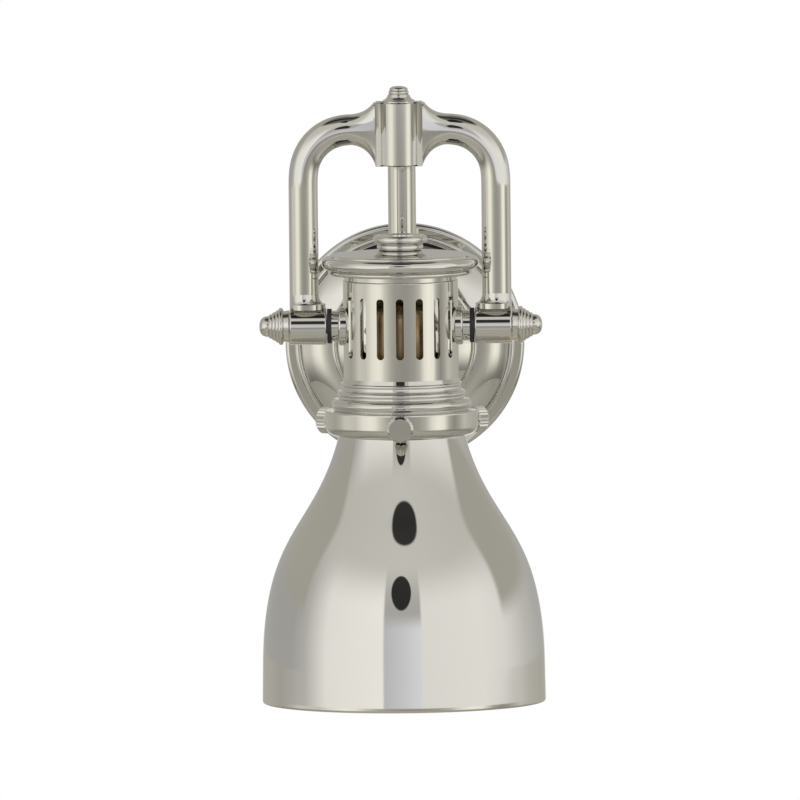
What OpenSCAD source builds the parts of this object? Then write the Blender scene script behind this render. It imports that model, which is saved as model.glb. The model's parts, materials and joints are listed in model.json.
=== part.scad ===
// Wall sconce: a bell shade on a vented head that tilts between the arms of a yoke.
// Millimetres. The wall is the plane Y = 0, the room is at -Y, up is +Z.
// The origin is the centre of the wall plate on the wall.

/* [Lamp] */
// Height of the whole lamp, from the shade's mouth to the finial's tip
lamp_h = 327.05; // [316:0.05:340]

/* [Wall plate] */
// Diameter over the rolled rim
plate_d = 127.5; // [116:0.5:140]
// Depth from the wall to the flat centre
plate_depth = 24; // [21:0.5:30]
// Thickness of the spun metal
plate_wall = 1.5; // [1:0.1:2]
// Thickness of the rim
rim_t = 2.8; // [2:0.1:3.5]
// Height of the rim from the wall
rim_h = 7; // [6:0.25:8.5]
// Rounding of the rim's front edge
rim_round = 2.3; // [1:0.1:3]
// Width from the rim's edge to the second bead
ledge_w = 5.2; // [4:0.2:7]
// Radius of the second bead
bead_r = 1.7; // [1:0.1:2.2]
// Diameter of the raised ring on the dome
ring_d = 77.4; // [66:0.5:88]
// Radius of the raised ring's bead
ring_bead_r = 1.4; // [0.8:0.1:2]
// Depth of the dome at the raised ring
ring_depth = 17; // [14:0.5:18]

/* [Mounting strap] */
// Distance between the centres of the two slots
slot_spacing = 79.4; // [74:0.2:84]
// Length of a slot from end to end
slot_len = 13.9; // [8:0.1:16]
// Width of a slot
slot_w = 4.4; // [3.6:0.1:5.2]
// Width of the strap
strap_w = 18; // [14:0.5:24]
// Thickness of the strap
strap_t = 2; // [1.5:0.1:2.4]
// Diameter of the hole at the strap's centre
strap_hole_d = 10.4; // [8:0.1:13]
// Diameter of the grub screws in the rim
grub_d = 3; // [2.5:0.1:3.4]
// Length of the grub screws
grub_len = 6; // [5:0.1:8]

/* [Wall arm] */
// Distance from the wall to the lamp's upright axis
reach = 128; // [120:1:150]
// Height of the tilt axis above the plate's centre
pivot_rise = 18.6; // [10:0.2:40]
// Outside diameter of the arm's tube
arm_d = 14.8; // [12:0.1:16]
// Bore of the arm's tube
arm_bore = 9; // [6:0.1:9.6]
// Diameter of the arm's threaded end in the plate
spigot_d = 12; // [10.6:0.1:12.4]
// Distance from the wall to the middle of the arm's upright
arm_leg = 56; // [53:0.5:62]
// Radius of the arm's bends on the tube's middle
arm_bend = 25; // [18:0.5:27]
// Width across the flats of the lock nut
lock_nut_af = 18; // [16:0.5:20]
// Thickness of the lock nut
lock_nut_t = 6; // [4:0.5:8]
// Diameter of the collar at the arm's foot
collar_d = 28; // [24:0.5:32]
// Length of the collar along the arm
collar_len = 6; // [4:0.25:6.5]

/* [Yoke] */
// Height of the crossbar's middle above the tilt axis
yoke_rise = 103.8; // [96:0.2:112]
// Distance between the middles of the two uprights
yoke_span = 102.1; // [92:0.1:112]
// Diameter of the yoke's bars
yoke_bar_d = 15.5; // [12:0.1:16]
// Radius of the yoke's bends on the bar's middle
yoke_bend = 23.9; // [18:0.1:26]
// Bore of the yoke's bars
yoke_bore = 6; // [4:0.1:8]
// Diameter of the hub
hub_d = 20.4; // [19:0.1:23]
// Height of the hub
hub_h = 33.9; // [28:0.1:36]
// How far the hub's middle lies below the crossbar's middle
hub_drop = 1.9; // [0:0.1:5]
// Width of the hub across its two cheeks
hub_w = 25.2; // [24:0.1:28]
// Depth of the cheeks from front to back
cheek_depth = 17; // [15:0.2:18.4]
// Angle at which the cheeks' front and back lean in to the hub's round side
cheek_lean = 22; // [16:1:28]
// Chamfer at the hub's ends
hub_chamfer = 0.6; // [0.4:0.1:2]
// Diameter of the tenons that hold the arms in the hub
tenon_d = 10; // [9:0.1:11]
// Length of the tenons
tenon_len = 5; // [3:0.1:6]
// Diameter of the socket at the hub's back
hub_socket_d = 18.4; // [17.8:0.1:18.6]
// Reach of that socket behind the hub's middle
hub_socket_len = 18; // [14:0.5:22]
// Diameter of the barrels at the yoke's feet
barrel_d = 19.6; // [18:0.1:21]
// Length of the barrels
barrel_len = 19.5; // [16:0.1:20]
// How far an upright's foot flares out above its barrel
heel_flare = 1.9; // [1:0.1:2]
// Height of that flare
heel_h = 5.2; // [3:0.1:7]
// Height of the flare's plain edge above the barrel
heel_edge = 2; // [1:0.1:3]
// Height of the top finial
finial_h = 8.4; // [7:0.2:12]
// Diameter of the finial's foot
finial_d = 17.4; // [13:0.1:17.8]
// Diameter of the finial's beads
finial_bead_d = 10.8; // [8:0.1:12]
// Diameter of the finial's threaded end
finial_stud_d = 6; // [4:0.1:7]
// Length of the finial's threaded end
finial_stud_len = 7; // [4:0.2:8]

/* [Tilt pivots] */
// Diameter of the pivot studs
stud_d = 8; // [6:0.1:9]
// Length of a stud inside the knob
stud_in_knob = 7; // [4:0.2:9]
// Diameter of the friction washers
washer_d = 18.4; // [16:0.1:19.4]
// Thickness of the friction washers
washer_t = 2.4; // [1.6:0.1:3]
// Diameter of a boss's flange
boss_flange_d = 20.6; // [18:0.1:22]
// Thickness of a boss's flange beyond the housing
boss_flange_t = 2.6; // [1.6:0.1:4]
// Diameter of a boss's neck
boss_neck_d = 16.4; // [14:0.1:18]
// Width across the flats of the stud nuts
stud_nut_af = 13; // [12:0.1:14]
// Thickness of the stud nuts
stud_nut_t = 3.2; // [2.8:0.1:3.6]
// Length of a knob
knob_len = 15.9; // [14:0.1:20]
// Diameter of a knob's neck at the barrel
knob_neck_d = 17.2; // [15:0.1:18.4]
// Diameter of a knob's widest ring
knob_ring_d = 19.8; // [18:0.1:22]
// Diameter of a knob's domed tip
knob_tip_d = 11; // [9:0.1:12.4]

/* [Head] */
// Room between the slotted housing and the middle of an upright
side_room = 20.55; // [19.5:0.05:22]
// Thickness of the housing's wall
housing_wall = 1.6; // [1.2:0.1:2]
// Height of the housing's top above the tilt axis
housing_top = 24.6; // [23:0.1:29]
// Depth of the moulding's top below the tilt axis
housing_drop = 27.6; // [24:0.1:32]
// How far the housing goes into the moulding
housing_seat = 8; // [5:0.2:8.8]
// Width of a vent slot
vent_w = 4.1; // [3:0.1:5]
// Length of a vent slot from end to end
vent_len = 32.4; // [24:0.2:36]
// Angle from one vent slot to the next
vent_pitch = 20; // [16:0.5:21]
// Number of vent slots on each half of the housing
vent_count = 7; // [3:2:7]
// How far the cap's rolled rim stands out beyond the housing
cap_overhang = 11.3; // [9.5:0.1:12]
// Height of the cap's rolled rim
cap_rim_h = 6.9; // [5:0.1:7.5]
// How far the bead under the rim stands out beyond the housing
bead_overhang = 7.7; // [6:0.1:8.4]
// Height of the bead under the rim
cap_bead_h = 2.7; // [1.6:0.1:3.4]
// Height of the neck between the housing and that bead
cap_neck_h = 2.7; // [1.5:0.1:3.5]
// How far the neck lies inside the housing's outside, which is the rounding of the housing's edge too
neck_inset = 0.7; // [0.4:0.1:0.9]
// Rise of the dome above the rim
dome_rise = 3.2; // [2.6:0.1:6]
// Rounding of the dome's edge
dome_round = 1; // [0.6:0.1:1.6]
// Thickness of the cap's metal
cap_wall = 1.6; // [1.2:0.1:2.2]
// Depth of the cap's ring inside the housing
cap_ring_h = 3.1; // [2.4:0.1:4]
// Diameter of the button on the dome
button_d = 29; // [25:0.2:34]
// Diameter of the bead at the button's foot
button_foot_d = 24.6; // [20:0.2:25]
// Thickness of the button
button_h = 8.1; // [6.6:0.1:9]
// Height of the bead at the button's foot
button_foot_h = 3.7; // [2.6:0.1:4.2]
// Diameter of the button's screw
button_screw_d = 6; // [4:0.1:7]

/* [Gallery] */
// Height of the three ridges of the moulding
moulding_h = 15.4; // [14:0.2:18]
// How far the plain band stands out beyond the housing
band_overhang = 10.1; // [9:0.1:12]
// Height of the plain band
band_h = 14.8; // [13:0.2:18]
// Thickness of the band
band_wall = 1.6; // [1.2:0.1:1.8]
// Radius by which the band's lower edge turns in
band_round = 5.4; // [4:0.1:6]
// Diameter of the thumbscrews' shanks
screw_d = 4; // [3:0.1:5]
// Distance from the band's lower edge to the thumbscrews
screw_height = 6; // [5.5:0.1:8.4]
// Diameter of a thumbscrew's head
screw_head_d = 14.2; // [11:0.1:15]
// Length of a thumbscrew's head
screw_head_len = 6.2; // [4:0.1:8]
// Gap between the band and a thumbscrew's head
screw_gap = 3; // [2:0.1:4]
// Number of teeth round a thumbscrew's head
knurl_teeth = 24; // [16:1:32]
// Depth of the knurl
knurl_depth = 0.55; // [0.3:0.05:0.8]

/* [Shade] */
// Diameter of the mouth
mouth_d = 150.6; // [136:0.2:160]
// Gap between the shade's lip and the gallery's mouth, through which it goes in
lip_clear = 0.6; // [0.4:0.1:1.2]
// How far the lip above the thumbscrews stands out from the neck
neck_step = 1.2; // [0.8:0.1:2]
// Thickness of the lip
lip_t = 1.6; // [1.2:0.1:2.2]
// Height of the upright skirt above the mouth
skirt_h = 22; // [16:0.5:28]
// How far down the waist runs before the bell opens
waist_drop = 52; // [44:0.5:58]
// How far the waist has opened there
waist_flare = 13.6; // [10:0.2:17]
// How far the shoulder pulls above the skirt
shoulder_rise = 75; // [66:0.5:82]
// Thickness of the shade's metal
shade_wall = 1.2; // [0.9:0.1:1.5]

/* [Lampholder and bulb] */
// Thickness of the plate that carries the lampholder
carrier_t = 1.5; // [1:0.1:2]
// Diameter of the threaded nipple
nipple_d = 10; // [9:0.1:11]
// Height of the nipple above the carrier plate
nipple_rise = 5; // [4:0.2:6]
// Length of the nipple between the plate and the holder
nipple_len = 6; // [4:0.2:8]
// Thickness of the nipple's nut
nipple_nut_t = 3; // [2:0.1:3.6]
// Diameter of the lampholder
holder_d = 37; // [35:0.2:40]
// Height of the lampholder's cap
holder_cap_h = 11; // [9:0.2:14]
// Height of the lampholder's shell
holder_shell_h = 42; // [38:0.2:46]
// Thickness of the lampholder's metal
holder_wall = 0.8; // [0.5:0.1:1.2]
// Diameter of the bulb's screw base
base_d = 26; // [25:0.1:26.6]
// Length of the bulb's screw base
base_len = 24; // [20:0.5:26]
// Thickness of the screw shell round the base
screw_shell_t = 0.7; // [0.5:0.1:1]
// Diameter of the bulb's glass
bulb_d = 60; // [50:0.5:64]
// Length of the bulb's glass below its base
bulb_len = 82; // [72:0.5:92]
// Thickness of the bulb's glass
bulb_wall = 0.9; // [0.6:0.1:1.4]

/* [Fits] */
// Radial clearance of pins, screws and seats
fit = 0.05; // [0.02:0.01:0.1]
// Gap between parts that move past each other
run_gap = 0.3; // [0.2:0.05:0.5]

/* [Hidden] */
$fn = 96;

NICKEL = [0.79, 0.77, 0.73];
STEEL = [0.62, 0.63, 0.65];
BRASS = [0.36, 0.27, 0.15];
RUBBER = [0.06, 0.06, 0.06];
CERAMIC = [0.92, 0.90, 0.86];
GLASS = [0.95, 0.95, 0.92];

// Overshoot of a cut past the face it leaves through
cut = 1;
half_turn = 180;

plate_r = plate_d / 2;
step_r = plate_r - ledge_w;
dome_r = step_r - 2 * bead_r;
ring_r = ring_d / 2;
arm_r = arm_d / 2;
spigot_r = spigot_d / 2;
rim_inner_r = plate_r - rim_t;
grub_depth = (rim_h - plate_wall) / 2;
ear_h = rim_h - plate_wall - run_gap;
ear_x = sqrt(pow(rim_inner_r, 2) - pow(strap_w / 2, 2)) - run_gap;

bar_r = yoke_bar_d / 2;
hub_r = hub_d / 2;
cheek_root = max(1, cheek_depth / 2 - hub_w / 2 * tan(cheek_lean));
hub_mid = yoke_rise - hub_drop;
hub_top = hub_mid + hub_h / 2;
hub_bottom = hub_mid - hub_h / 2;
arm_z = pivot_rise + hub_mid;
seat_wall = 1.5;
arm_seat = tenon_d / 2 + seat_wall;
upright_x = yoke_span / 2;
bend_x = upright_x - yoke_bend;
flare_r = yoke_bend - bar_r;
flare_share = 0.87;
flare_len = min(bend_x - hub_w / 2, flare_share * flare_r);

// The head's stations along the tilt axis, from the housing out to the knob's tip
housing_r = upright_x - side_room;
housing_in = housing_r - housing_wall;
flange_x = housing_r + boss_flange_t;
barrel_out = upright_x + bar_r;
barrel_in = barrel_out - barrel_len;
washer_out = barrel_in - run_gap;
washer_in = washer_out - washer_t;
knob_in = barrel_out + run_gap;
stud_r = stud_d / 2;
stud_nut_r = stud_nut_af / 2 / cos(30);
stud_nut_x = sqrt(pow(housing_in, 2) - pow(stud_nut_r, 2)) - fit;
stud_end = 0.3;
stud_in = stud_nut_x - stud_nut_t - stud_end;

// The head's stations along the upright axis, from the button down to the shade's mouth
cap_bottom = housing_top;
cap_bead_z = cap_bottom + cap_neck_h;
cap_rim_z = cap_bead_z + cap_bead_h;
dome_z = cap_rim_z + cap_rim_h;
dome_top = dome_z + dome_rise;
cap_r = housing_r + cap_overhang;
cap_bead_r = housing_r + bead_overhang;
carrier_top = housing_top - cap_ring_h;
carrier_bottom = carrier_top - carrier_t;
ledge_t = 1.5;
moulding_top = -housing_drop;
band_top = moulding_top - moulding_h;
band_bottom = band_top - band_h;
housing_bottom = moulding_top - housing_seat;
band_r = housing_r + band_overhang;
band_in = band_r - band_wall;
shoulder_t = 1.2;
screw_turn = 120;
shade_top = band_top - shoulder_t;
screw_z = band_bottom + screw_height;
gallery_mouth_r = band_r - band_round;
lip_r = gallery_mouth_r - lip_clear;
neck_r = lip_r - neck_step;
mouth_r = mouth_d / 2;
mouth_z = hub_top + finial_h - lamp_h;
screw_tip = neck_r + fit;
screw_head_in = band_r + screw_gap;

holder_top = carrier_bottom - nipple_len;
holder_split = holder_top - holder_cap_h;
holder_bottom = holder_split - holder_shell_h;
holder_r = holder_d / 2;
base_r = base_d / 2;
base_drop = 1;
base_bottom = holder_bottom - base_drop;
base_top = base_bottom + base_len;
foot_h = 2.2;
foot_r = 5;
foot_tip_r = 3.4;
contact_h = 1.6;
contact_r = 4;

// Points on an arc about c, from angle a0 to angle a1
function arc(c, r, a0, a1, n = 10) =
    [for (i = [0:n]) c + r * [cos(a0 + (a1 - a0) * i / n), sin(a0 + (a1 - a0) * i / n)]];

// Points on a curve from a to b that is pulled towards p
function bow(a, p, b, n = 14) =
    [for (i = [0:n]) let (t = i / n) pow(1 - t, 2) * a + 2 * t * (1 - t) * p + t * t * b];

// The outside of the bell at t from 0 at the neck to 1 at the skirt
bell = [
    [neck_r, band_bottom],
    [neck_r + waist_flare, band_bottom - waist_drop],
    [mouth_r, mouth_z + skirt_h + shoulder_rise],
    [mouth_r, mouth_z + skirt_h]
];
function bell_at(t) =
    pow(1 - t, 3) * bell[0] + 3 * t * pow(1 - t, 2) * bell[1]
    + 3 * t * t * (1 - t) * bell[2] + pow(t, 3) * bell[3];
function bell_way(t) =
    pow(1 - t, 2) * (bell[1] - bell[0]) + 2 * t * (1 - t) * (bell[2] - bell[1])
    + t * t * (bell[3] - bell[2]);
function bell_in(t) = let (w = bell_way(t) / norm(bell_way(t))) bell_at(t) + shade_wall * [w[1], -w[0]];
bell_steps = 30;

// Moves a part of the head from its own frame, with the tilt axis at the origin, to its place
module at_head() {
    translate([0, -reach, pivot_rise]) children();
}

// Turns a revolved profile so that its axis runs out from the wall
module from_wall() {
    rotate([90, 0, 0]) children();
}

// Turns a revolved profile so that its axis runs along the tilt axis, out to side 1 or -1
module along_tilt(side) {
    rotate([0, 90 * side, 0]) children();
}

module hex_prism(across_flats, h) {
    cylinder(r = across_flats / 2 / cos(30), h = h, $fn = 6);
}

// A bar with round ends along X, standing on Z = 0
module round_bar(length, width, depth) {
    run = length - width;
    translate([-run / 2, -width / 2, 0]) cube([run, width, depth]);
    for (side = [-1, 1]) translate([side * run / 2, 0, 0]) cylinder(d = width, h = depth);
}

module mounting_strap() {
    color(STEEL) difference() {
        union() {
            translate([-ear_x, -strap_t, -strap_w / 2]) cube([2 * ear_x, strap_t, strap_w]);
            for (side = [-1, 1])
                translate([side * (ear_x - strap_t / 2) - strap_t / 2, -ear_h, -strap_w / 2])
                    cube([strap_t, ear_h, strap_w]);
        }
        for (side = [-1, 1])
            translate([side * slot_spacing / 2, cut, 0])
                from_wall() round_bar(slot_len, slot_w, strap_t + 2 * cut);
        translate([0, cut, 0]) from_wall() cylinder(d = strap_hole_d, h = strap_t + 2 * cut);
        grub_bores();
    }
}

module grub_bores() {
    for (side = [-1, 1])
        translate([0, -grub_depth, 0]) along_tilt(side)
            translate([0, 0, ear_x - strap_t - cut]) cylinder(r = grub_d / 2 + fit, h = plate_r);
}

module grub_screws() {
    recess = 0.4;
    slot = [2 * grub_d, 0.5, 0.8];
    color(STEEL) for (side = [-1, 1])
        translate([0, -grub_depth, 0]) along_tilt(side)
            translate([0, 0, plate_r - recess - grub_len]) difference() {
                cylinder(d = grub_d, h = grub_len);
                translate([-slot[0] / 2, -slot[1] / 2, grub_len - slot[2]]) cube(slot + [0, 0, cut]);
            }
}

module wall_plate() {
    bead_end = [dome_r + 0.25 * bead_r, rim_h + 0.5 * bead_r];
    ring_foot = [ring_r, ring_depth];
    flat_margin = 1.5;
    flat_r = collar_d / 2 + flat_margin;
    inner_shift = [-0.6 * plate_wall, -plate_wall];
    lower_dome = bow(bead_end, [(dome_r + ring_r) / 2 + 2, ring_depth - 0.8], ring_foot);
    upper_start = [ring_r - 2 * ring_bead_r, ring_depth + 0.2];
    upper_dome = bow(upper_start, [0.55 * ring_r + 0.25 * flat_r, plate_depth], [flat_r, plate_depth]);
    outer = concat(
        [[plate_r, 0]],
        arc([plate_r - rim_round, rim_h - rim_round], rim_round, 0, 90),
        arc([step_r - bead_r, rim_h], bead_r, 0, 140),
        lower_dome,
        arc([ring_r - ring_bead_r, ring_depth], ring_bead_r, 10, 170),
        upper_dome,
        [[0, plate_depth]]
    );
    inner = concat(
        [[0, plate_depth - plate_wall]],
        [for (i = [len(upper_dome) - 1:-1:0]) upper_dome[i] + inner_shift],
        [for (i = [len(lower_dome) - 1:-1:0]) lower_dome[i] + inner_shift],
        [[rim_inner_r, rim_h - plate_wall], [rim_inner_r, 0]]
    );
    color(NICKEL) difference() {
        from_wall() rotate_extrude() polygon(concat(outer, inner));
        from_wall() cylinder(r = spigot_r + fit, h = plate_depth + cut);
        grub_bores();
    }
}

module arm_collar() {
    r = collar_d / 2;
    step = collar_len / 3;
    profile = concat(
        [[arm_r + fit, plate_depth], [r, plate_depth], [r, plate_depth + step / 2]],
        arc([r - step / 2, plate_depth + step / 2], step / 2, 0, 90, 6),
        bow([r - step, plate_depth + step], [arm_r + step, plate_depth + step],
            [arm_r + step, plate_depth + collar_len], 8),
        [[arm_r + fit, plate_depth + collar_len]]
    );
    color(NICKEL) from_wall() rotate_extrude() polygon(profile);
}

module lock_nut() {
    color(BRASS) translate([0, lock_nut_t - plate_depth + plate_wall, 0]) from_wall() difference() {
        hex_prism(lock_nut_af, lock_nut_t);
        translate([0, 0, -cut]) cylinder(r = spigot_r + fit, h = lock_nut_t + 2 * cut);
    }
}

// The arm's line: out of the plate, up, and forward into the back of the hub
module arm_line(r, foot, tip) {
    translate([0, -foot, 0]) from_wall() cylinder(r = r, h = arm_leg - arm_bend - foot);
    translate([0, arm_bend - arm_leg, arm_bend]) rotate([0, 90, 0]) rotate([0, 0, 270])
        rotate_extrude(angle = 90) translate([arm_bend, 0]) circle(r = r);
    translate([0, -arm_leg, arm_bend]) cylinder(r = r, h = arm_z - 2 * arm_bend);
    translate([0, -arm_leg - arm_bend, arm_z - arm_bend]) rotate([0, 90, 0]) rotate([0, 0, 90])
        rotate_extrude(angle = 90) translate([arm_bend, 0]) circle(r = r);
    translate([0, -arm_leg - arm_bend, arm_z]) from_wall() cylinder(r = r, h = tip - arm_leg - arm_bend);
}

module wall_arm() {
    past_nut = 2;
    spigot_in = plate_depth - plate_wall - lock_nut_t - past_nut;
    color(NICKEL) difference() {
        union() {
            arm_line(arm_r, plate_depth, reach - arm_seat);
            translate([0, -spigot_in, 0]) from_wall()
                cylinder(r = spigot_r, h = plate_depth - spigot_in + cut);
        }
        arm_line(arm_bore / 2, spigot_in - cut, reach - arm_seat + cut);
    }
}

module yoke_hub() {
    c = hub_chamfer;
    tap_end = 0.5;
    profile = [[0, hub_bottom], [hub_r - c, hub_bottom], [hub_r, hub_bottom + c], [hub_r, hub_top - c],
        [hub_r - c, hub_top], [0, hub_top]];
    x = hub_w / 2;
    y = cheek_depth / 2;
    cheeks = [[-x, -y], [0, -cheek_root], [x, -y], [x, y], [0, cheek_root], [-x, y]];
    color(NICKEL) at_head() difference() {
        union() {
            rotate_extrude() polygon(profile);
            translate([0, 0, hub_bottom]) linear_extrude(hub_h) polygon(cheeks);
            translate([0, hub_socket_len, hub_mid]) from_wall()
                cylinder(d = hub_socket_d, h = hub_socket_len);
        }
        translate([0, hub_socket_len + cut, hub_mid]) from_wall()
            cylinder(r = arm_r + fit, h = hub_socket_len + cut - arm_seat);
        translate([0, arm_seat + cut, hub_mid]) from_wall() cylinder(d = arm_bore, h = arm_seat + cut);
        translate([-hub_w / 2 - cut, 0, yoke_rise]) along_tilt(1)
            cylinder(r = tenon_d / 2 + fit, h = hub_w + 2 * cut);
        translate([0, 0, hub_top - finial_stud_len - tap_end])
            cylinder(r = finial_stud_d / 2 + fit, h = finial_stud_len + tap_end + cut);
    }
}

// The bar's bore, from the tenon to the barrel
module bar_bore() {
    r = yoke_bore / 2;
    translate([hub_w / 2 - tenon_len - cut, 0, yoke_rise]) along_tilt(1)
        cylinder(r = r, h = bend_x - hub_w / 2 + tenon_len + cut);
    translate([bend_x, 0, yoke_rise - yoke_bend]) rotate([90, 0, 0])
        rotate_extrude(angle = 90) translate([yoke_bend, 0]) circle(r = r);
    translate([upright_x, 0, 0]) cylinder(r = r, h = yoke_rise - yoke_bend);
}

// One arm of the yoke on the right, in the head's frame
module yoke_arm() {
    face = hub_w / 2;
    bar_start = face + flare_len;
    flare_steps = 16;
    lap = 0.01;
    flare = [for (i = [0:flare_steps]) let (u = 1 - i / flare_steps)
        [yoke_bend - flare_r * sqrt(1 - pow(flare_share * u, 2)), bar_start - flare_len * u]];
    chamfer = 0.8;
    barrel_r = barrel_d / 2;
    heel_r = bar_r + heel_flare;
    heel_z = barrel_r + heel_edge;
    heel_top = heel_z + heel_h;
    heel_steps = 12;
    heel = concat(
        [[0, barrel_r - chamfer], [heel_r, barrel_r - chamfer]],
        [for (i = [0:heel_steps]) let (a = 90 * i / heel_steps)
            [heel_r - heel_flare * sin(a), heel_z + heel_h * (1 - cos(a))]],
        [[0, heel_top]]
    );
    barrel = [[0, barrel_in], [barrel_r - chamfer, barrel_in], [barrel_r, barrel_in + chamfer],
        [barrel_r, barrel_out - chamfer], [barrel_r - chamfer, barrel_out], [0, barrel_out]];
    difference() {
        union() {
            translate([face - tenon_len, 0, yoke_rise]) along_tilt(1)
                cylinder(d = tenon_d, h = tenon_len + cut);
            intersection() {
                translate([0, 0, yoke_rise]) along_tilt(1)
                    rotate_extrude() polygon(concat([[0, face]], flare, [[0, bar_start]]));
                translate([face, -cheek_depth / 2, hub_bottom]) cube([flare_len, cheek_depth, hub_h]);
            }
            translate([bar_start - lap, 0, yoke_rise]) along_tilt(1)
                cylinder(r = bar_r, h = bend_x - bar_start + 2 * lap);
            translate([bend_x, 0, yoke_rise - yoke_bend]) rotate([90, 0, 0])
                rotate_extrude(angle = 90) translate([yoke_bend, 0]) circle(r = bar_r);
            translate([upright_x, 0, 0]) cylinder(r = bar_r, h = yoke_rise - yoke_bend);
            along_tilt(1) rotate_extrude() polygon(barrel);
            intersection() {
                translate([upright_x, 0, 0]) rotate_extrude() polygon(heel);
                translate([barrel_in, -heel_r - cut, 0])
                    cube([barrel_len, 2 * (heel_r + cut), heel_top + cut]);
            }
        }
        bar_bore();
        along_tilt(1) translate([0, 0, barrel_in - cut])
            cylinder(r = stud_r + fit, h = barrel_len + 2 * cut);
    }
}

module yoke_arm_left() {
    color(NICKEL) at_head() rotate([0, 0, half_turn]) yoke_arm();
}

module yoke_arm_right() {
    color(NICKEL) at_head() yoke_arm();
}

module top_finial() {
    r = finial_bead_d / 2;
    waist = 0.45 * finial_h;
    waist_r = r + 0.4;
    edge = 0.8;
    bead_h = (finial_h - waist) / 2;
    tip_z = hub_top + finial_h;
    profile = concat(
        [[0, hub_top - finial_stud_len], [finial_stud_d / 2, hub_top - finial_stud_len],
            [finial_stud_d / 2, hub_top], [finial_d / 2, hub_top], [finial_d / 2, hub_top + edge]],
        bow([finial_d / 2 - edge / 2, hub_top + edge], [waist_r + 0.3, hub_top + 0.5 * waist],
            [waist_r, hub_top + waist], 8),
        arc([r - bead_h / 2, hub_top + waist + bead_h / 2], bead_h / 2, -50, 50, 8),
        [[r - 0.9, hub_top + waist + bead_h]],
        bow([r - 0.4, hub_top + waist + bead_h + 0.2], [r - 0.6, tip_z], [0, tip_z], 10)
    );
    color(NICKEL) at_head() rotate_extrude() polygon(profile);
}

module housing() {
    ledge_reach = 2.2;
    ledge_slope = 1;
    ledge_in = housing_in - ledge_reach;
    profile = concat(
        [[housing_in, housing_bottom], [housing_r, housing_bottom]],
        arc([housing_r - neck_inset, housing_top - neck_inset], neck_inset, 0, 90, 6),
        [[housing_in, housing_top], [housing_in, carrier_bottom], [ledge_in, carrier_bottom],
            [ledge_in, carrier_bottom - ledge_t], [housing_in, carrier_bottom - ledge_t - ledge_slope]]
    );
    middle = (vent_count - 1) / 2;
    color(NICKEL) at_head() difference() {
        rotate_extrude() polygon(profile);
        for (half = [0, half_turn])
            for (i = [0:vent_count - 1])
                rotate([0, 0, half + (i - middle) * vent_pitch])
                    translate([0, -housing_in + 2 * cut, 0]) from_wall() rotate([0, 0, 90])
                        round_bar(vent_len, vent_w, housing_wall + 4 * cut);
        translate([-housing_r - cut, 0, 0]) along_tilt(1)
            cylinder(r = stud_r + fit, h = 2 * (housing_r + cut));
    }
}

module cap() {
    ring_out = housing_in - fit;
    open_r = housing_in - cap_wall;
    bead_half = cap_bead_h / 2;
    rim_half = cap_rim_h / 2;
    edge_r = cap_r - rim_half;
    groove = [0.6, 0.4];
    dome_edge = edge_r - groove[0];
    cap_neck_r = housing_r - neck_inset;
    edge_turn = 80;
    edge = arc([dome_edge - dome_round, dome_z], dome_round, 0, edge_turn, 8);
    edge_end = edge[len(edge) - 1];
    dome_end = [button_foot_d / 2, dome_top];
    pull = [(edge_end[0] + dome_end[0]) / 2, dome_top - 0.3 * (dome_top - edge_end[1])];
    dome = concat(edge, bow(edge_end, pull, dome_end, 16));
    outer = concat(
        [[open_r, carrier_top], [ring_out, carrier_top], [ring_out, cap_bottom],
            [cap_neck_r, cap_bottom], [cap_neck_r, cap_bead_z], [cap_bead_r - bead_half, cap_bead_z]],
        arc([cap_bead_r - bead_half, cap_bead_z + bead_half], bead_half, -70, 70, 8),
        arc([edge_r, cap_rim_z + rim_half], rim_half, -75, 90, 12),
        [[dome_edge, dome_z - groove[1]]],
        dome,
        [[0, dome_top]]
    );
    inner = concat(
        [[0, dome_top - cap_wall]],
        [for (i = [len(dome) - 1:-1:0]) dome[i] - [cap_wall, cap_wall]],
        [[dome_edge - 2 * cap_wall, cap_bead_z + cap_wall], [open_r, cap_bead_z + cap_wall]]
    );
    color(NICKEL) at_head() difference() {
        rotate_extrude() polygon(concat(outer, inner));
        cylinder(r = button_screw_d / 2 + fit, h = dome_top + cut);
    }
}

module cap_button() {
    foot_half = button_foot_h / 2;
    head_half = (button_h - button_foot_h) / 2;
    foot_mid = [button_foot_d / 2 - foot_half, dome_top + foot_half];
    head_mid = [button_d / 2 - head_half, dome_top + button_foot_h + head_half];
    recess = 0.5;
    face_z = dome_top + button_h - recess;
    screw_hold = 3;
    screw_end = carrier_top + nipple_rise - screw_hold;
    profile = concat(
        [[0, screw_end], [button_screw_d / 2, screw_end], [button_screw_d / 2, dome_top]],
        arc(foot_mid, foot_half, -90, 70, 10),
        arc(head_mid, head_half, -70, 120, 12),
        [[head_mid[0] - head_half, face_z], [0, face_z]]
    );
    color(NICKEL) at_head() rotate_extrude() polygon(profile);
}

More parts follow.
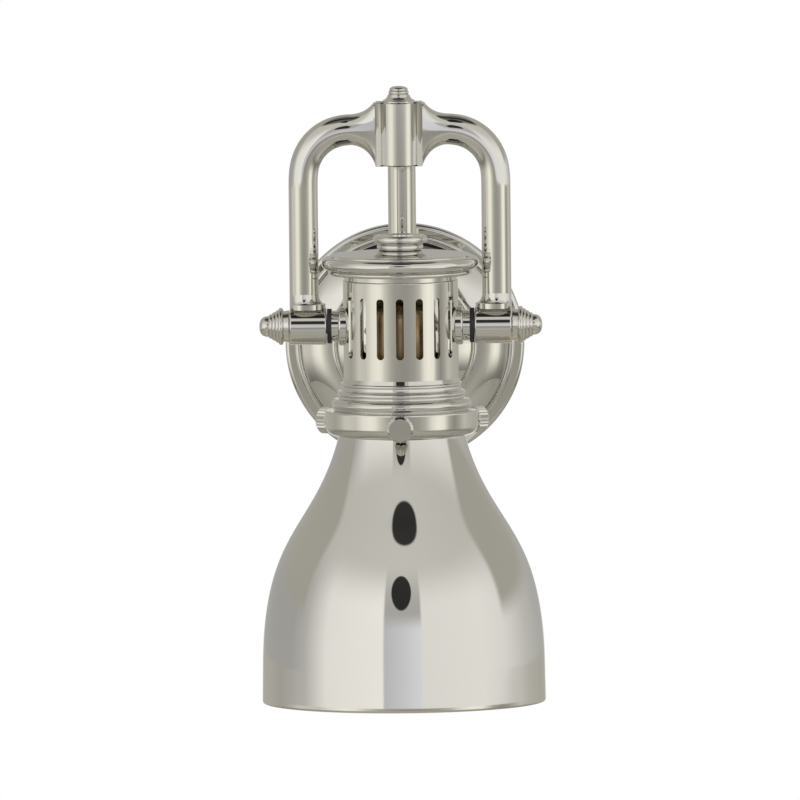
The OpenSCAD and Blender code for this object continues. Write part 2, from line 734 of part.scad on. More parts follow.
module gallery() {
    grow = band_r - housing_r;
    ridge_r = [1, 1.4, 2.6];
    ridge_out = [0.08, 0.27, 0.54];
    ridge_drop = [0.15, 0.42, 0.73];
    ridge_turn = [75, -62];
    ridge = [for (i = [0:2])
        arc([housing_r + ridge_out[i] * grow, moulding_top - ridge_drop[i] * moulding_h],
            ridge_r[i], i == 0 ? 90 : ridge_turn[0], ridge_turn[1], 8)];
    ridge_end = [for (points = ridge) points[len(points) - 1]];
    edge = 0.8;
    turn_mid = [gallery_mouth_r, band_bottom + band_round];
    profile = concat(
        [[housing_r, housing_bottom], [housing_r, moulding_top]],
        ridge[0],
        bow(ridge_end[0], [ridge_end[0][0], ridge[1][0][1]], ridge[1][0], 6),
        ridge[1],
        bow(ridge_end[1], [ridge_end[1][0], ridge[2][0][1]], ridge[2][0], 6),
        ridge[2],
        bow(ridge_end[2], [ridge_end[2][0], band_top], [band_r - edge, band_top], 8),
        arc([band_r - edge, band_top - edge], edge, 90, 0, 4),
        arc(turn_mid, band_round, 0, -90, 10),
        arc(turn_mid, band_round - band_wall, -90, 0, 10),
        [[band_in, shade_top], [housing_in, shade_top], [housing_in, housing_bottom]]
    );
    color(NICKEL) at_head() difference() {
        rotate_extrude() polygon(profile);
        for (i = [0:2])
            rotate([0, 0, i * screw_turn]) translate([0, 0, screw_z]) from_wall()
                translate([0, 0, neck_r]) cylinder(r = screw_d / 2 + fit, h = band_r);
    }
}

// A thumbscrew that points to the front, turned about the upright axis
module thumbscrew(turn) {
    head_r = screw_head_d / 2;
    chamfer = 1.2;
    head_out = screw_head_in + screw_head_len;
    teeth = [for (i = [0:2 * knurl_teeth - 1])
        (head_r - (i % 2) * knurl_depth) * [cos(180 * i / knurl_teeth), sin(180 * i / knurl_teeth)]];
    over = 0.3;
    envelope = [[0, screw_head_in], [head_r - chamfer / 2, screw_head_in],
        [head_r + over, screw_head_in + chamfer / 2 + over], [head_r + over, head_out - chamfer - over],
        [head_r - chamfer, head_out], [0, head_out]];
    shank = [[0, screw_tip], [screw_d / 2, screw_tip], [screw_d / 2, screw_head_in - screw_gap / 2],
        [screw_d / 2 + 0.8, screw_head_in], [0, screw_head_in]];
    color(NICKEL) at_head() rotate([0, 0, turn]) translate([0, 0, screw_z]) from_wall() union() {
        rotate_extrude() polygon(shank);
        intersection() {
            translate([0, 0, screw_head_in]) linear_extrude(screw_head_len) polygon(teeth);
            rotate_extrude() polygon(envelope);
        }
    }
}

module thumbscrew_front() {
    thumbscrew(0);
}

module thumbscrew_left() {
    thumbscrew(2 * screw_turn);
}

module thumbscrew_right() {
    thumbscrew(screw_turn);
}

module shade() {
    roll = 0.8;
    roll_h = 1.6;
    outer = concat(
        [[lip_r, shade_top], [lip_r, shade_top - lip_t], [neck_r, shade_top - lip_t]],
        [for (i = [0:bell_steps]) bell_at(i / bell_steps)],
        bow([mouth_r, mouth_z + roll_h], [mouth_r, mouth_z], [mouth_r - roll, mouth_z], 6)
    );
    inner = concat(
        [[mouth_r - roll - shade_wall, mouth_z]],
        [[mouth_r - shade_wall, mouth_z + roll_h]],
        [for (i = [bell_steps:-1:0]) bell_in(i / bell_steps)],
        [[neck_r - shade_wall, shade_top]]
    );
    color(NICKEL) at_head() rotate_extrude() polygon(concat(outer, inner));
}

module pivot_boss(side) {
    neck_r_out = boss_neck_d / 2;
    flange = boss_flange_d / 2;
    round_r = min(boss_flange_t / 2, 1.2);
    profile = concat(
        [[stud_r + fit, housing_in], [flange, housing_in]],
        arc([flange - round_r, flange_x - round_r], round_r, 0, 90, 6),
        [[neck_r_out, flange_x], [neck_r_out, washer_in], [stud_r + fit, washer_in]]
    );
    color(NICKEL) at_head() difference() {
        along_tilt(side) rotate_extrude() polygon(profile);
        translate([0, 0, -boss_flange_d]) cylinder(r = housing_r, h = 2 * boss_flange_d);
    }
}

module pivot_boss_left() {
    pivot_boss(-1);
}

module pivot_boss_right() {
    pivot_boss(1);
}

module pivot_stud(side) {
    stud_out = knob_in + stud_in_knob;
    color(STEEL) at_head() along_tilt(side) translate([0, 0, stud_in]) difference() {
        cylinder(r = stud_r, h = stud_out - stud_in);
        translate([0, 0, -cut]) cylinder(r = stud_r / 2, h = barrel_out - bar_r - stud_in + cut);
    }
}

module pivot_stud_left() {
    pivot_stud(-1);
}

module pivot_stud_right() {
    pivot_stud(1);
}

module stud_nut(side) {
    color(STEEL) at_head() along_tilt(side) translate([0, 0, stud_nut_x - stud_nut_t]) difference() {
        hex_prism(stud_nut_af, stud_nut_t);
        translate([0, 0, -cut]) cylinder(r = stud_r + fit, h = stud_nut_t + 2 * cut);
    }
}

module stud_nut_left() {
    stud_nut(-1);
}

module stud_nut_right() {
    stud_nut(1);
}

module washer(side) {
    color(RUBBER) at_head() along_tilt(side) translate([0, 0, washer_in]) difference() {
        cylinder(d = washer_d, h = washer_t);
        translate([0, 0, -cut]) cylinder(r = stud_r + fit, h = washer_t + 2 * cut);
    }
}

module washer_left() {
    washer(-1);
}

module washer_right() {
    washer(1);
}

// A beehive knob: a neck, a wide ring, and ribs that narrow to a domed tip
module knob(side) {
    ring_r_out = knob_ring_d / 2;
    tip_r = knob_tip_d / 2;
    ring_x = knob_in + 0.2 * knob_len;
    ribs_x = knob_in + 0.36 * knob_len;
    tip_x = knob_in + 0.7 * knob_len;
    ribs = 3;
    rib_len = (tip_x - ribs_x) / ribs;
    rib_fall = (ring_r_out - 1.2 - tip_r) / ribs;
    rib_points = [for (i = [0:ribs - 1]) each bow(
        [ring_r_out - 1.2 - i * rib_fall, ribs_x + i * rib_len],
        [ring_r_out - 0.9 - (i + 0.3) * rib_fall, ribs_x + (i + 0.7) * rib_len],
        [ring_r_out - 1.5 - (i + 0.8) * rib_fall, ribs_x + (i + 0.95) * rib_len], 5)];
    ring_half = (ribs_x - ring_x) / 2;
    profile = concat(
        [[stud_r + fit, knob_in], [knob_neck_d / 2, knob_in], [knob_neck_d / 2 - 0.5, ring_x - 0.4]],
        arc([ring_r_out - ring_half, ring_x + ring_half], ring_half, -80, 80, 8),
        rib_points,
        bow([tip_r, tip_x], [tip_r, knob_in + knob_len], [0, knob_in + knob_len], 10),
        [[0, knob_in + stud_in_knob + 0.4], [stud_r + fit, knob_in + stud_in_knob + 0.4]]
    );
    color(NICKEL) at_head() along_tilt(side) rotate_extrude() polygon(profile);
}

module knob_left() {
    knob(-1);
}

module knob_right() {
    knob(1);
}

module carrier_plate() {
    color(STEEL) at_head() translate([0, 0, carrier_bottom]) difference() {
        cylinder(r = housing_in - fit, h = carrier_t);
        translate([0, 0, -cut]) cylinder(r = nipple_d / 2 + fit, h = carrier_t + 2 * cut);
    }
}

module nipple() {
    in_holder = 2;
    bottom = holder_top - holder_wall - in_holder;
    height = carrier_top + nipple_rise - bottom;
    color(BRASS) at_head() translate([0, 0, bottom]) difference() {
        cylinder(d = nipple_d, h = height);
        translate([0, 0, -cut]) cylinder(r = button_screw_d / 2 + fit, h = height + 2 * cut);
    }
}

module nipple_nut() {
    nut_margin = 2;
    nut_af = nipple_d + 2 * nut_margin;
    color(BRASS) at_head() translate([0, 0, carrier_top]) difference() {
        hex_prism(nut_af, nipple_nut_t);
        translate([0, 0, -cut]) cylinder(r = nipple_d / 2 + fit, h = nipple_nut_t + 2 * cut);
    }
}

module holder_cap() {
    t = holder_wall;
    hole = nipple_d / 2 + fit;
    neck_wall = 2;
    neck = nipple_d / 2 + neck_wall;
    outer = concat([[hole, carrier_bottom], [neck, carrier_bottom], [neck, holder_top]],
        bow([neck, holder_top], [holder_r, holder_top], [holder_r, holder_split], 10));
    inner = concat([[holder_r - t, holder_split]],
        bow([holder_r - t, holder_split], [holder_r - t, holder_top - t], [neck, holder_top - t], 10),
        [[hole, holder_top - t]]);
    color(BRASS) at_head() rotate_extrude() polygon(concat(outer, inner));
}

module holder_shell() {
    t = holder_wall;
    lip = 1.2;
    outer = concat(
        [[holder_r - t, holder_split], [holder_r, holder_split], [holder_r, holder_bottom + lip]],
        arc([holder_r - lip, holder_bottom + lip], lip, 0, -90, 5));
    inner = [[holder_r - lip - t, holder_bottom], [holder_r - lip - t, holder_bottom + t],
        [holder_r - t, holder_bottom + t]];
    color(BRASS) at_head() rotate_extrude() polygon(concat(outer, inner));
}

module holder_core() {
    well_r = base_r + screw_shell_t + fit;
    well_top = base_top + foot_h + contact_h;
    color(CERAMIC) at_head() difference() {
        translate([0, 0, holder_bottom + holder_wall])
            cylinder(r = holder_r - holder_wall - fit, h = holder_split - holder_bottom - holder_wall);
        translate([0, 0, holder_bottom - cut]) cylinder(r = well_r, h = well_top - holder_bottom + cut);
    }
}

module screw_shell() {
    color(BRASS) at_head() translate([0, 0, holder_bottom + holder_wall]) difference() {
        cylinder(r = base_r + screw_shell_t, h = base_top - holder_bottom - holder_wall);
        translate([0, 0, -cut]) cylinder(r = base_r + fit, h = base_top - holder_bottom + 2 * cut);
    }
}

module centre_contact() {
    color(BRASS) at_head() translate([0, 0, base_top + foot_h]) cylinder(r = contact_r, h = contact_h);
}

module bulb_base() {
    thread_pitch = 3.6;
    thread_depth = 0.7;
    thread_start = 1;
    crown_h = 2;
    turns = floor((base_len - thread_start - crown_h) / thread_pitch);
    thread_z = base_bottom + thread_start;
    root_r = base_r - thread_depth;
    ridges = [for (i = [0:turns - 1]) each
        [[root_r, thread_z + i * thread_pitch], [base_r, thread_z + (i + 0.5) * thread_pitch]]];
    profile = concat([[0, base_bottom], [root_r, base_bottom]], ridges,
        [[root_r, thread_z + turns * thread_pitch], [0.45 * base_r, base_top], [0, base_top]]);
    color(STEEL) at_head() rotate_extrude() polygon(profile);
}

module bulb_foot() {
    color(BRASS) at_head() translate([0, 0, base_top]) cylinder(r1 = foot_r, r2 = foot_tip_r, h = foot_h);
}

// The bulb's outline from its foot up to its neck, drawn in by the thickness t
function bulb_line(t) =
    let (r = bulb_d / 2, z = base_bottom - bulb_len + r, neck = base_r - 0.6, swell = asin(0.55))
    concat(
        arc([0, z], r - t, -90, swell, 16),
        bow([r * cos(swell) - 0.6 - t, z + r * sin(swell) + 0.9],
            [neck + 1.6 - t, z + 1.25 * r], [neck - t, base_bottom], 8)
    );

module bulb_glass() {
    outside = bulb_line(0);
    inside = bulb_line(bulb_wall);
    back = [for (i = [len(inside) - 1:-1:0]) inside[i]];
    color(GLASS) at_head() rotate_extrude() polygon(concat(outside, back));
}

mounting_strap();
grub_screws();
wall_plate();
arm_collar();
lock_nut();
wall_arm();
yoke_hub();
yoke_arm_left();
yoke_arm_right();
top_finial();
housing();
cap();
cap_button();
gallery();
shade();
pivot_boss_left();
pivot_boss_right();
pivot_stud_left();
pivot_stud_right();
stud_nut_left();
stud_nut_right();
washer_left();
washer_right();
knob_left();
knob_right();
thumbscrew_front();
thumbscrew_left();
thumbscrew_right();
carrier_plate();
nipple();
nipple_nut();
holder_cap();
holder_shell();
holder_core();
screw_shell();
centre_contact();
bulb_base();
bulb_foot();
bulb_glass();
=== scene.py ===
"""Looks of a polished wall sconce: a bell shade on a vented head that tilts between the arms of a yoke.

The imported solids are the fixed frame. Turned and bent pieces, whose polish would show the solids' facets, are drawn
again as fine surfaces on grids, at the same sizes apart from small departures at the bell, the hub's cheeks, the
arms' bends and the gallery. The rest keep their solids and get a finish. Lengths of the pieces are in millimetres, and
grids of points are in metres.
"""

import json
import logging
import math
from dataclasses import dataclass, field
from enum import Enum

import bpy
import numpy as np
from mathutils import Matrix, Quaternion, Vector


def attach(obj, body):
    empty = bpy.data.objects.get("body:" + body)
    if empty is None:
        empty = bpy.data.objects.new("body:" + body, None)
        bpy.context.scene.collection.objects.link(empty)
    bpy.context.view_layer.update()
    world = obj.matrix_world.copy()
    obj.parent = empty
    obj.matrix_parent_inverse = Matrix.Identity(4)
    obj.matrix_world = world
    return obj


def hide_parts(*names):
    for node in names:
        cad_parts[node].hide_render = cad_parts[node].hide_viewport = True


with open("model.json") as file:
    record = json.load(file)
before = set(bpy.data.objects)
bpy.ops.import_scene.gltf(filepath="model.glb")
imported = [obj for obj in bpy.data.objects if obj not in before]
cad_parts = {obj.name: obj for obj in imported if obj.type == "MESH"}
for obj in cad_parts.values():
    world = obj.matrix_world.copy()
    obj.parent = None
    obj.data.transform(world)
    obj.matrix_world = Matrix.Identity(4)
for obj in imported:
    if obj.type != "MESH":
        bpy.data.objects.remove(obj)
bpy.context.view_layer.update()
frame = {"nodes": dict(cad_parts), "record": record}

LOG = logging.getLogger("sconce")
MM = 0.001
REACH = 128.0  # from the wall to the lamp's axis
RISE = 18.6  # from the plate's centre up to the tilt axis
CLOUDS = (0.3, 0.7)  # the range that holds most values of a cloud pattern
WHITE = (1.0, 1.0, 1.0)

Pair = tuple[float, float]
Trio = tuple[float, float, float]
Colour = Trio
Levels = tuple[Pair, ...]
Grid = np.ndarray
Shells = list[tuple[Grid, bool]]
Socket = bpy.types.NodeSocket


class Axis(Enum):
    """The lines that the turned pieces turn about."""

    UPRIGHT = "the lamp's upright axis, heights from the tilt axis"
    WALL = "out from the wall through the plate's centre"
    LEFT = "along the tilt axis to the left"
    RIGHT = "along the tilt axis to the right"


class Body(Enum):
    """The bodies of the frame that new pieces ride on."""

    WALL_SIDE = "wall_side"
    HEAD = "head"
    LEFT_KNOB = "left_knob"
    RIGHT_KNOB = "right_knob"


class Slot(Enum):
    """The record's material slots."""

    NICKEL = "nickel"
    STEEL = "steel"
    BRASS = "brass"
    WASHER = "washer"
    CERAMIC = "ceramic"
    GLASS = "glass"


def arc(centre: Pair, radius: float, start: float, end: float, count: int = 16) -> Grid:
    """Points on a circle: centre plus radius times (cosine, sine) of an angle in degrees, in count steps."""
    angle = np.radians(np.linspace(start, end, count + 1))
    return np.array(centre) + radius * np.stack([np.cos(angle), np.sin(angle)], axis=1)


def blend(t: Grid, a: Grid, pull: Grid, b: Grid) -> Grid:
    """The quadratic curve: (1 - t) squared of a, 2 t (1 - t) of pull and t squared of b."""
    return (1 - t) ** 2 * a + 2 * t * (1 - t) * pull + t**2 * b


def bow(a: Pair, pull: Pair, b: Pair, count: int = 24) -> Grid:
    """Points on the quadratic curve from a to b that leans towards pull, in count steps."""
    return blend(np.linspace(0.0, 1.0, count + 1)[:, None], np.array(a), np.array(pull), np.array(b))


def brace(profile: Grid, gap: float = 0.25, least: float = 2.4) -> Grid:
    """Adds a point near both ends of every long straight stretch, so that its shine stays plain beside a rounding.

    Args:
        profile: points of (radius, height) in millimetres.
        gap: distance from an end to the added point.
        least: length over which a stretch is long.

    Returns:
        The line with the added points.
    """
    side = np.diff(profile, axis=0)
    length = np.linalg.norm(side, axis=1, keepdims=True)
    share = gap / np.maximum(length, least)
    trio = np.stack([profile[:-1], profile[:-1] + share * side, profile[1:] - share * side], axis=1)
    keep = np.repeat(length > least, 3, axis=1)
    keep[:, 0] = True
    return np.concatenate([trio[keep], profile[-1:]])


def revolve(profile: Grid, axis: Axis, segments: int = 192) -> Grid:
    """Carries a profile of (radius, height) round an axis: radius times cosine and sine, and the height along it.

    Args:
        profile: points of (radius, height) in millimetres.
        axis: the line to turn about.
        segments: steps of the full turn.

    Returns:
        A grid of points in metres, one row for each point of the profile.
    """
    profile = brace(profile)
    angle = np.linspace(0.0, 2 * math.pi, segments, endpoint=False)[None, :]
    across, along = profile[:, :1] * np.cos(angle), profile[:, :1] * np.sin(angle)
    height = np.repeat(profile[:, 1:], segments, axis=1)
    if axis is Axis.UPRIGHT:
        parts = (across, along - REACH, height + RISE)
    elif axis is Axis.WALL:
        parts = (across, -height, along)
    else:
        way = 1.0 if axis is Axis.RIGHT else -1.0
        parts = (way * height, across - REACH, along + RISE)
    return np.stack(parts, axis=2) * MM


def triangles(rows: int, columns: int, closed_rows: bool) -> Grid:
    """Indices of two triangles for each cell of a grid whose columns, and rows if asked, close into a ring."""
    index = np.arange(rows * columns).reshape(rows, columns)
    below = np.roll(index, -1, axis=0)
    if not closed_rows:
        index, below = index[:-1], below[:-1]
    right, below_right = np.roll(index, -1, axis=1), np.roll(below, -1, axis=1)
    upper = np.stack([index, right, below_right], axis=2).reshape(-1, 3)
    lower = np.stack([index, below_right, below], axis=2).reshape(-1, 3)
    return np.concatenate([upper, lower])


def weld(grid: Grid, closed_rows: bool, decimals: int = 8) -> tuple[Grid, Grid]:
    """Points and triangles of a grid, with points that fall together made one and cells without area left out."""
    points, back = np.unique(np.round(grid.reshape(-1, 3), decimals), axis=0, return_inverse=True)
    faces = back.reshape(-1)[triangles(*grid.shape[:2], closed_rows)]
    return points, faces[(faces != np.roll(faces, 1, axis=1)).all(axis=1)]


def outward(points: Grid, faces: Grid) -> Grid:
    """Turns the faces of a closed shell so that the volume they enclose counts as positive."""
    a, b, c = points[faces[:, 0]], points[faces[:, 1]], points[faces[:, 2]]
    volume = np.einsum("ij,ij->i", a - points.mean(axis=0), np.cross(b - a, c - a)).sum()
    return faces if volume > 0 else faces[:, ::-1]


def add_object(name: str, data: bpy.types.ID) -> bpy.types.Object:
    """Puts data into the scene as a new object at the origin."""
    made = bpy.data.objects.new(name, data)
    bpy.context.scene.collection.objects.link(made)
    return made


def shell_object(name: str, shells: Shells, crease: float = 34.0) -> bpy.types.Object:
    """Makes one object of closed shells.

    Args:
        name: the piece's name.
        shells: grids whose columns close into a ring, with a flag that says whether the last row joins the first.
        crease: angle in degrees above which an edge is sharp.

    Returns:
        The new object, in the scene, at the origin.
    """
    all_points, all_faces, offset = [], [], 0
    for grid, closed_rows in shells:
        points, faces = weld(grid, closed_rows)
        all_points.append(points)
        all_faces.append(outward(points, faces) + offset)
        offset += len(points)
    mesh = bpy.data.meshes.new(name)
    mesh.from_pydata(np.concatenate(all_points), [], np.concatenate(all_faces).tolist())
    mesh.shade_smooth()
    mesh.set_sharp_from_angle(angle=math.radians(crease))
    return add_object(name, mesh)


def dimmed(tint: Colour, level: float) -> Colour:
    """A tint at a level of brightness."""
    return tuple(level * part for part in tint)


class NodeSheet:
    """A short way to add and join shader nodes."""

    def __init__(self, tree: bpy.types.NodeTree) -> None:
        """Starts an empty sheet on a node tree."""
        self.tree = tree
        tree.nodes.clear()

    def feed(self, socket: Socket, value: object) -> None:
        """Joins an input to an output, or sets it to a plain value."""
        if isinstance(value, Socket):
            self.tree.links.new(value, socket)
        else:
            socket.default_value = value

    def add(self, kind: str, links: dict[str, Socket] | None = None, **values: object) -> bpy.types.Node:
        """Adds a node, sets its properties and joins its inputs.

        Args:
            kind: Blender's node type.
            links: input name to the output that feeds it.
            values: node properties, or input values where the node has no such property.

        Returns:
            The new node.
        """
        node = self.tree.nodes.new(kind)
        for key, value in values.items():
            if hasattr(node, key):
                setattr(node, key, value)
            else:
                node.inputs[key.replace("_", " ")].default_value = value
        for key, output in (links or {}).items():
            self.tree.links.new(output, node.inputs[key])
        return node

    def maths(self, operation: str, first: object, second: object = 0.0, clamp: bool = False) -> Socket:
        """A calculation on two values, each a number or an output; clamp keeps the result from 0 to 1."""
        node = self.add("ShaderNodeMath", operation=operation, use_clamp=clamp)
        self.feed(node.inputs[0], first)
        self.feed(node.inputs[1], second)
        return node.outputs[0]

    def span(self, value: Socket, ends: Pair, low: float, high: float, kind: str = "LINEAR") -> Socket:
        """Maps a value between two ends, in either order, to one from low to high."""
        return self.add("ShaderNodeMapRange", {"Value": value}, interpolation_type=kind, From_Min=ends[0],
                        From_Max=ends[1], To_Min=low, To_Max=high).outputs["Result"]

    def ramp(self, factor: Socket, stops: list[tuple[float, Colour]]) -> Socket:
        """A colour ramp along a factor, with stops at places from 0 to 1."""
        node = self.add("ShaderNodeValToRGB", {"Fac": factor})
        elements = node.color_ramp.elements
        while len(elements) < len(stops):
            elements.new(0.5)
        for element, (place, colour) in zip(elements, stops):
            element.position = place
            element.color = (*colour, 1.0)
        return node.outputs["Color"]

    def noise(self, scale: float, detail: float = 2.0) -> Socket:
        """A cloud pattern on the piece's own coordinates: patches to a metre, with finer layers of detail."""
        place = self.add("ShaderNodeTexCoord").outputs["Object"]
        return self.add("ShaderNodeTexNoise", {"Vector": place}, Scale=scale, Detail=detail).outputs["Fac"]

    def clouds(self, scale: float, low: Colour, high: Colour, detail: float = 3.0) -> Socket:
        """A colour that runs from low to high over a cloud pattern."""
        return self.ramp(self.noise(scale, detail), list(zip(CLOUDS, (low, high))))

    def mix(self, factor: Socket, first: object, second: object) -> Socket:
        """Mixes two colours, each an output or a plain colour; the factor is the share of the second."""
        node = self.add("ShaderNodeMix", data_type="RGBA")
        colours = [value if isinstance(value, Socket) else (*value, 1.0) for value in (first, second)]
        for place, value in zip((0, 6, 7), (factor, *colours)):  # the places of the inputs that colours use
            self.feed(node.inputs[place], value)
        return node.outputs[2]

    def mix_shaders(self, factor: Socket, first: Socket, second: Socket) -> Socket:
        """Mixes two shaders; the factor is the share of the second."""
        node = self.add("ShaderNodeMixShader")
        for socket, value in zip(node.inputs, (factor, first, second)):
            self.feed(socket, value)
        return node.outputs[0]


@dataclass(frozen=True)
class Finish:
    """A finish with a cloudy colour, an uneven gloss and a fine surface.

    Its colour runs from low to high over patches, its roughness between two values over smaller ones, and a pattern of
    grain lifts the surface by depth. Patches and grain are counted to a metre.
    """

    name: str
    low: Colour
    high: Colour
    rough: Pair
    patch: float
    grain: float
    depth: float
    metal: float = 1.0
    through: float = 0.0
    coat: float = 0.0
    gloss_share: float = 2.3
    gloss_detail: float = 4.0

    def material(self) -> bpy.types.Material:
        """Builds the material from its nodes."""
        made = bpy.data.materials.new(self.name)
        made.use_nodes = True
        sheet = NodeSheet(made.node_tree)
        gloss = sheet.noise(self.patch * self.gloss_share, self.gloss_detail)
        bump = sheet.add("ShaderNodeBump", {"Height": sheet.noise(self.grain)}, Strength=1.0, Distance=self.depth)
        shader = sheet.add(
            "ShaderNodeBsdfPrincipled",
            {
                "Base Color": sheet.clouds(self.patch, self.low, self.high),
                "Roughness": sheet.span(gloss, CLOUDS, *self.rough),
                "Normal": bump.outputs["Normal"],
            },
            Metallic=self.metal, Transmission_Weight=self.through, Coat_Weight=self.coat,
        )
        sheet.add("ShaderNodeOutputMaterial", {"Surface": shader.outputs["BSDF"]})
        return made


@dataclass(frozen=True)
class DullFinish(Finish):
    """A finish that isn't metal, with light through it or a coat on it if asked."""

    metal: float = 0.0
    gloss_share: float = 3.1
    gloss_detail: float = 3.0


RECIPES = {
    Slot.NICKEL: Finish(
        "polished_nickel", (0.71, 0.70, 0.67), (0.75, 0.74, 0.71), (0.015, 0.04), patch=9.0, grain=55.0, depth=4e-6
    ),
    Slot.STEEL: Finish(
        "zinc_steel", (0.50, 0.51, 0.53), (0.66, 0.67, 0.70), (0.28, 0.45), patch=60.0, grain=700.0, depth=2e-5
    ),
    Slot.BRASS: Finish(
        "aged_brass", (0.28, 0.20, 0.10), (0.44, 0.33, 0.19), (0.25, 0.42), patch=45.0, grain=300.0, depth=6e-6
    ),
    Slot.WASHER: DullFinish(
        "black_fibre", (0.012, 0.012, 0.012), (0.030, 0.030, 0.032), (0.55, 0.75), patch=150.0, grain=900.0,
        depth=4e-5,
    ),
    Slot.CERAMIC: DullFinish(
        "glazed_ceramic", (0.84, 0.82, 0.77), (0.90, 0.88, 0.84), (0.12, 0.25), patch=60.0, grain=200.0, depth=1e-5,
        coat=0.5,
    ),
    Slot.GLASS: DullFinish(
        "pearl_glass", (0.90, 0.89, 0.86), (0.95, 0.94, 0.92), (0.30, 0.42), patch=40.0, grain=500.0, depth=4e-6,
        through=0.35,
    ),
}


@dataclass
class Finishes:
    """The finish of each of the record's slots, built once and shared."""

    made: dict[Slot, bpy.types.Material] = field(default_factory=dict)

    def build(self) -> None:
        """Builds the six materials."""
        self.made = {slot: recipe.material() for slot, recipe in RECIPES.items()}

    def dress(self, piece: bpy.types.Object, slot: Slot) -> None:
        """Gives a piece the finish of a slot."""
        piece.data.materials.clear()
        piece.data.materials.append(self.made[slot])

    def dress_frame(self) -> None:
        """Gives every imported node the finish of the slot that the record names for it."""
        for part in frame["record"]["subparts"]:
            self.dress(frame["nodes"][part["node"]], Slot(part["material_slot"]))


@dataclass
class SubAssembly:
    """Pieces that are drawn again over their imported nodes, all with the finish of one of the record's slots."""

    finishes: Finishes
    slot: Slot = Slot.NICKEL

    def stand_for(self, node: str, body: Body, shells: Shells) -> None:
        """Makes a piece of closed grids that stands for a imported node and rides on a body."""
        piece = shell_object(node + "_fine", shells)
        self.finishes.dress(piece, self.slot)
        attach(piece, body.value)
        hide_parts(node)
        LOG.info("%s: %d triangles", piece.name, len(piece.data.polygons))


@dataclass
class WallPlate(SubAssembly):
    """The domed plate on the wall, turned from one sheet."""

    radius: float = 63.75
    depth: float = 24.0
    sheet: float = 1.5
    rim: float = 2.8
    rim_height: float = 7.0
    rim_round: float = 2.3
    ledge: float = 5.2
    bead: float = 1.7
    bead_turn: float = 140.0
    bead_foot: Pair = (0.25, 0.5)
    lower_pull: Pair = (2.0, 0.8)
    ring: float = 38.7
    ring_bead: float = 1.4
    ring_turn: Pair = (10.0, 170.0)
    ring_depth: float = 17.0
    ring_step: float = 0.2
    upper_pull: Pair = (0.55, 0.25)
    inside_shift: float = 0.6
    flat: float = 15.5
    hole: float = 6.05

    def profile(self) -> Grid:
        """The sheet's closed outline: up the rim, over two beads and the dome to the hole, and back inside."""
        step = self.radius - self.ledge
        dome = step - 2 * self.bead
        lower = bow(
            (dome + self.bead_foot[0] * self.bead, self.rim_height + self.bead_foot[1] * self.bead),
            ((dome + self.ring) / 2 + self.lower_pull[0], self.ring_depth - self.lower_pull[1]),
            (self.ring, self.ring_depth),
        )
        upper = bow(
            (self.ring - 2 * self.ring_bead, self.ring_depth + self.ring_step),
            (self.upper_pull[0] * self.ring + self.upper_pull[1] * self.flat, self.depth),
            (self.flat, self.depth),
        )
        shift = np.array([-self.inside_shift * self.sheet, -self.sheet])
        inner_rim = self.radius - self.rim
        return np.concatenate([
            [[inner_rim, 0.0], [self.radius, 0.0]],
            arc((self.radius - self.rim_round, self.rim_height - self.rim_round), self.rim_round, 0, 90),
            arc((step - self.bead, self.rim_height), self.bead, 0, self.bead_turn),
            lower,
            arc((self.ring - self.ring_bead, self.ring_depth), self.ring_bead, *self.ring_turn),
            upper,
            [[self.hole, self.depth], [self.hole, self.depth - self.sheet]],
            upper[::-1] + shift,
            lower[::-1] + shift,
            [[inner_rim, self.rim_height - self.sheet]],
        ])

    def build(self) -> None:
        """Makes the plate."""
        self.stand_for("wall_plate", Body.WALL_SIDE, [(revolve(self.profile(), Axis.WALL, segments=256), True)])


